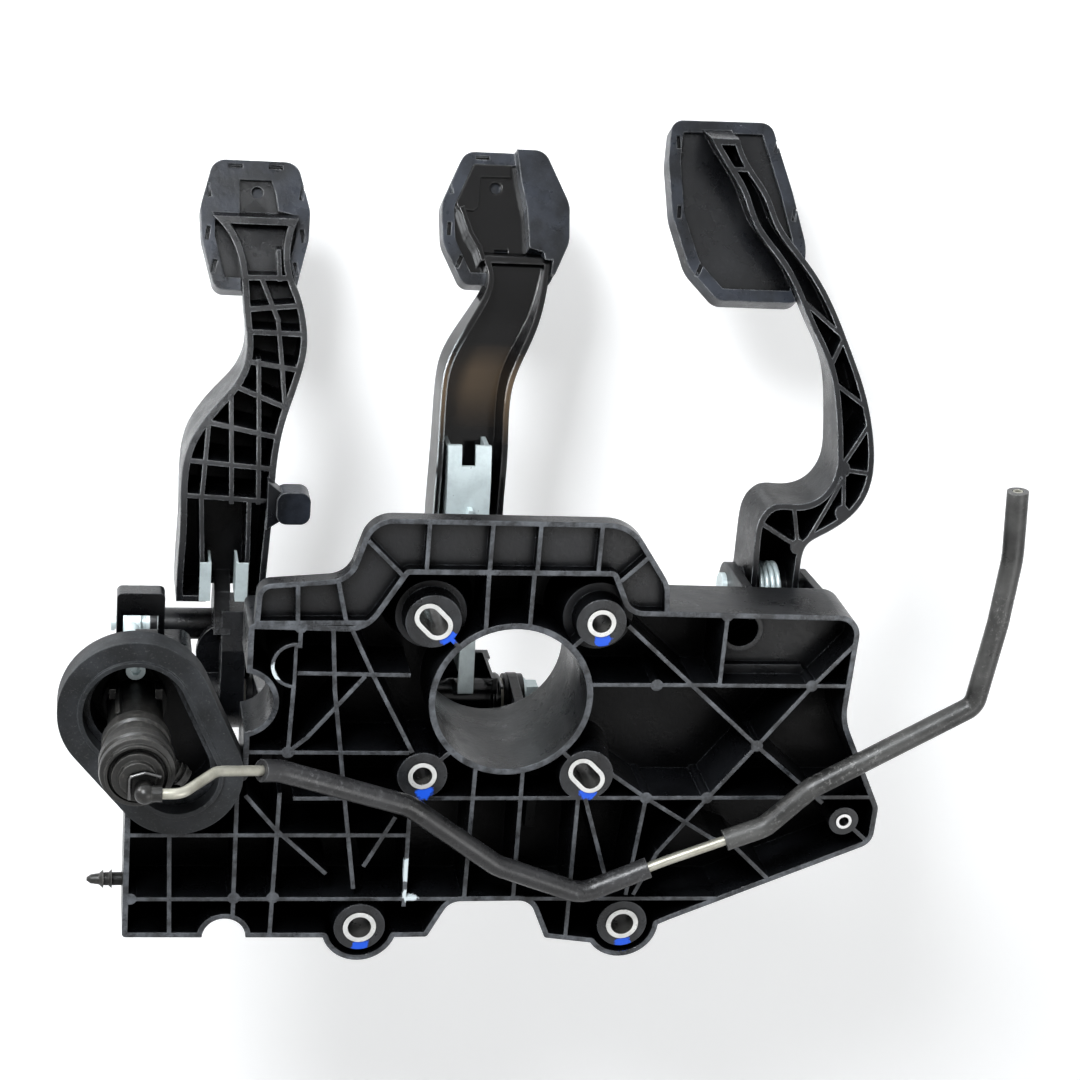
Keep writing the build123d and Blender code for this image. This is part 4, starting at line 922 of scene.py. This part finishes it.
@dataclass(frozen=True)
class Backdrop:
    """A white matt plane that can't be seen from its back.

    For the camera and in mirrors it glows on top of the light that falls on it.
    """

    name: str
    corners: tuple[Place, ...]
    glow: float
    pale: Colour = (0.86, 0.86, 0.86)

    def material(self) -> bpy.types.Material:
        """Builds the plane's paint.

        Returns:
            The material.
        """
        graph = SurfaceGraph("backdrop")
        paint = graph.add("ShaderNodeBsdfDiffuse")
        paint.inputs["Color"].default_value = (*self.pale, 1.0)
        glow = graph.add("ShaderNodeEmission")
        graph.join(graph.remap(graph.backdrop_rays(), 0.0, 1.0, 0.0, self.glow), glow.inputs["Strength"])
        both = graph.add("ShaderNodeAddShader")
        graph.join(paint.outputs[0], both.inputs[0])
        graph.join(glow.outputs[0], both.inputs[1])
        back = graph.add("ShaderNodeNewGeometry").outputs["Backfacing"]
        mix = graph.mix_shaders(back, both, graph.add("ShaderNodeBsdfTransparent"))
        graph.join(mix.outputs[0], graph.output.inputs["Surface"])
        return graph.material

    def build(self) -> None:
        """Adds the plane as a stage piece."""
        mesh = bpy.data.meshes.new(self.name)
        mesh.from_pydata(self.corners, [], [tuple(range(len(self.corners)))])
        obj = bpy.data.objects.new(self.name, mesh)
        bpy.context.scene.collection.objects.link(obj)
        obj.data.materials.append(self.material())


@dataclass(frozen=True)
class SoftLight:
    """A square soft light that the camera doesn't see, with its power in watts."""

    name: str
    place: Place
    size: float
    power: float
    colour: Colour = (1.0, 1.0, 1.0)

    def build(self, target: Place) -> None:
        """Adds the light.

        Args:
            target: Where it looks.
        """
        data = bpy.data.lights.new(self.name, "AREA")
        data.size = self.size
        data.energy = self.power
        data.color = self.colour
        obj = bpy.data.objects.new(self.name, data)
        bpy.context.scene.collection.objects.link(obj)
        turn = (Vector(target) - Vector(self.place)).to_track_quat("-Z", "Y").to_matrix().to_4x4()
        obj.matrix_world = Matrix.Translation(Vector(self.place)) @ turn
        obj.visible_camera = False


@dataclass(frozen=True)
class Sky:
    """A world that shows white and lights the part more from the pedals' side.

    The upper and lower heights are those of the ray's direction at which the light is dim and bright.
    """

    tint: Colour = (0.93, 0.97, 1.0)
    white: Colour = (1.0, 1.0, 1.0)
    upper: float = 0.5
    lower: float = -0.8
    dim: float = 0.12
    bright: float = 0.7

    def build(self) -> None:
        """Makes it the scene's world."""
        world = bpy.data.worlds.new("studio")
        world.use_nodes = True
        graph = Graph(world.node_tree)
        output = graph.add("ShaderNodeOutputWorld")
        split = graph.add("ShaderNodeSeparateXYZ")
        graph.join(graph.add("ShaderNodeTexCoord").outputs["Generated"], split.inputs[0])
        strength = graph.remap(split.outputs["Z"], self.upper, self.lower, self.dim, self.bright)
        lit = graph.add("ShaderNodeBackground")
        lit.inputs["Color"].default_value = (*self.tint, 1.0)
        graph.join(strength, lit.inputs["Strength"])
        seen = graph.add("ShaderNodeBackground")
        seen.inputs["Color"].default_value = (*self.white, 1.0)
        mix = graph.mix_shaders(graph.backdrop_rays(), lit, seen)
        graph.join(mix.outputs[0], output.inputs["Surface"])
        bpy.context.scene.world = world


@dataclass(frozen=True)
class Studio:
    """Pale floor, wall, world and soft lights."""

    floor_z: float = -1.7
    wall_y: float = 0.25
    reach: float = 6.0
    floor_glow: float = 0.66
    wall_glow: float = 0.40
    middle: Place = (0.0, 0.0, -0.05)
    lights: tuple[SoftLight, ...] = (
        SoftLight("key", (0.55, -0.85, -1.0), 0.40, 25.0, (0.94, 0.97, 1.0)),
        SoftLight("fill", (-0.9, -1.3, 0.2), 0.9, 8.0),
        SoftLight("edge", (0.9, 0.05, -0.6), 0.3, 6.0),
    )

    def build(self) -> None:
        """Adds the studio's pieces and sets how colours are shown."""
        square = ((-self.reach, -self.reach), (self.reach, -self.reach),
                  (self.reach, self.reach), (-self.reach, self.reach))
        Backdrop("floor", tuple((x, y, self.floor_z) for x, y in square), self.floor_glow).build()
        Backdrop("wall", tuple((x, self.wall_y, z) for x, z in square), self.wall_glow).build()
        Sky().build()
        for light in self.lights:
            light.build(self.middle)
        bpy.context.scene.view_settings.view_transform = "Standard"


def main() -> None:
    """Builds the looks in order and reports each piece."""
    finishes = Finishes(FINISH_LIST)
    for assembly in (Bracket(), Hydraulics(), ClutchPedal(), BrakePedal(), AcceleratorPedal()):
        LOG.info("%s: %d nodes dressed", assembly.title, assembly.dress(finishes))
    Studio().build()
    Camera().build()


if __name__ == "__main__":
    main()
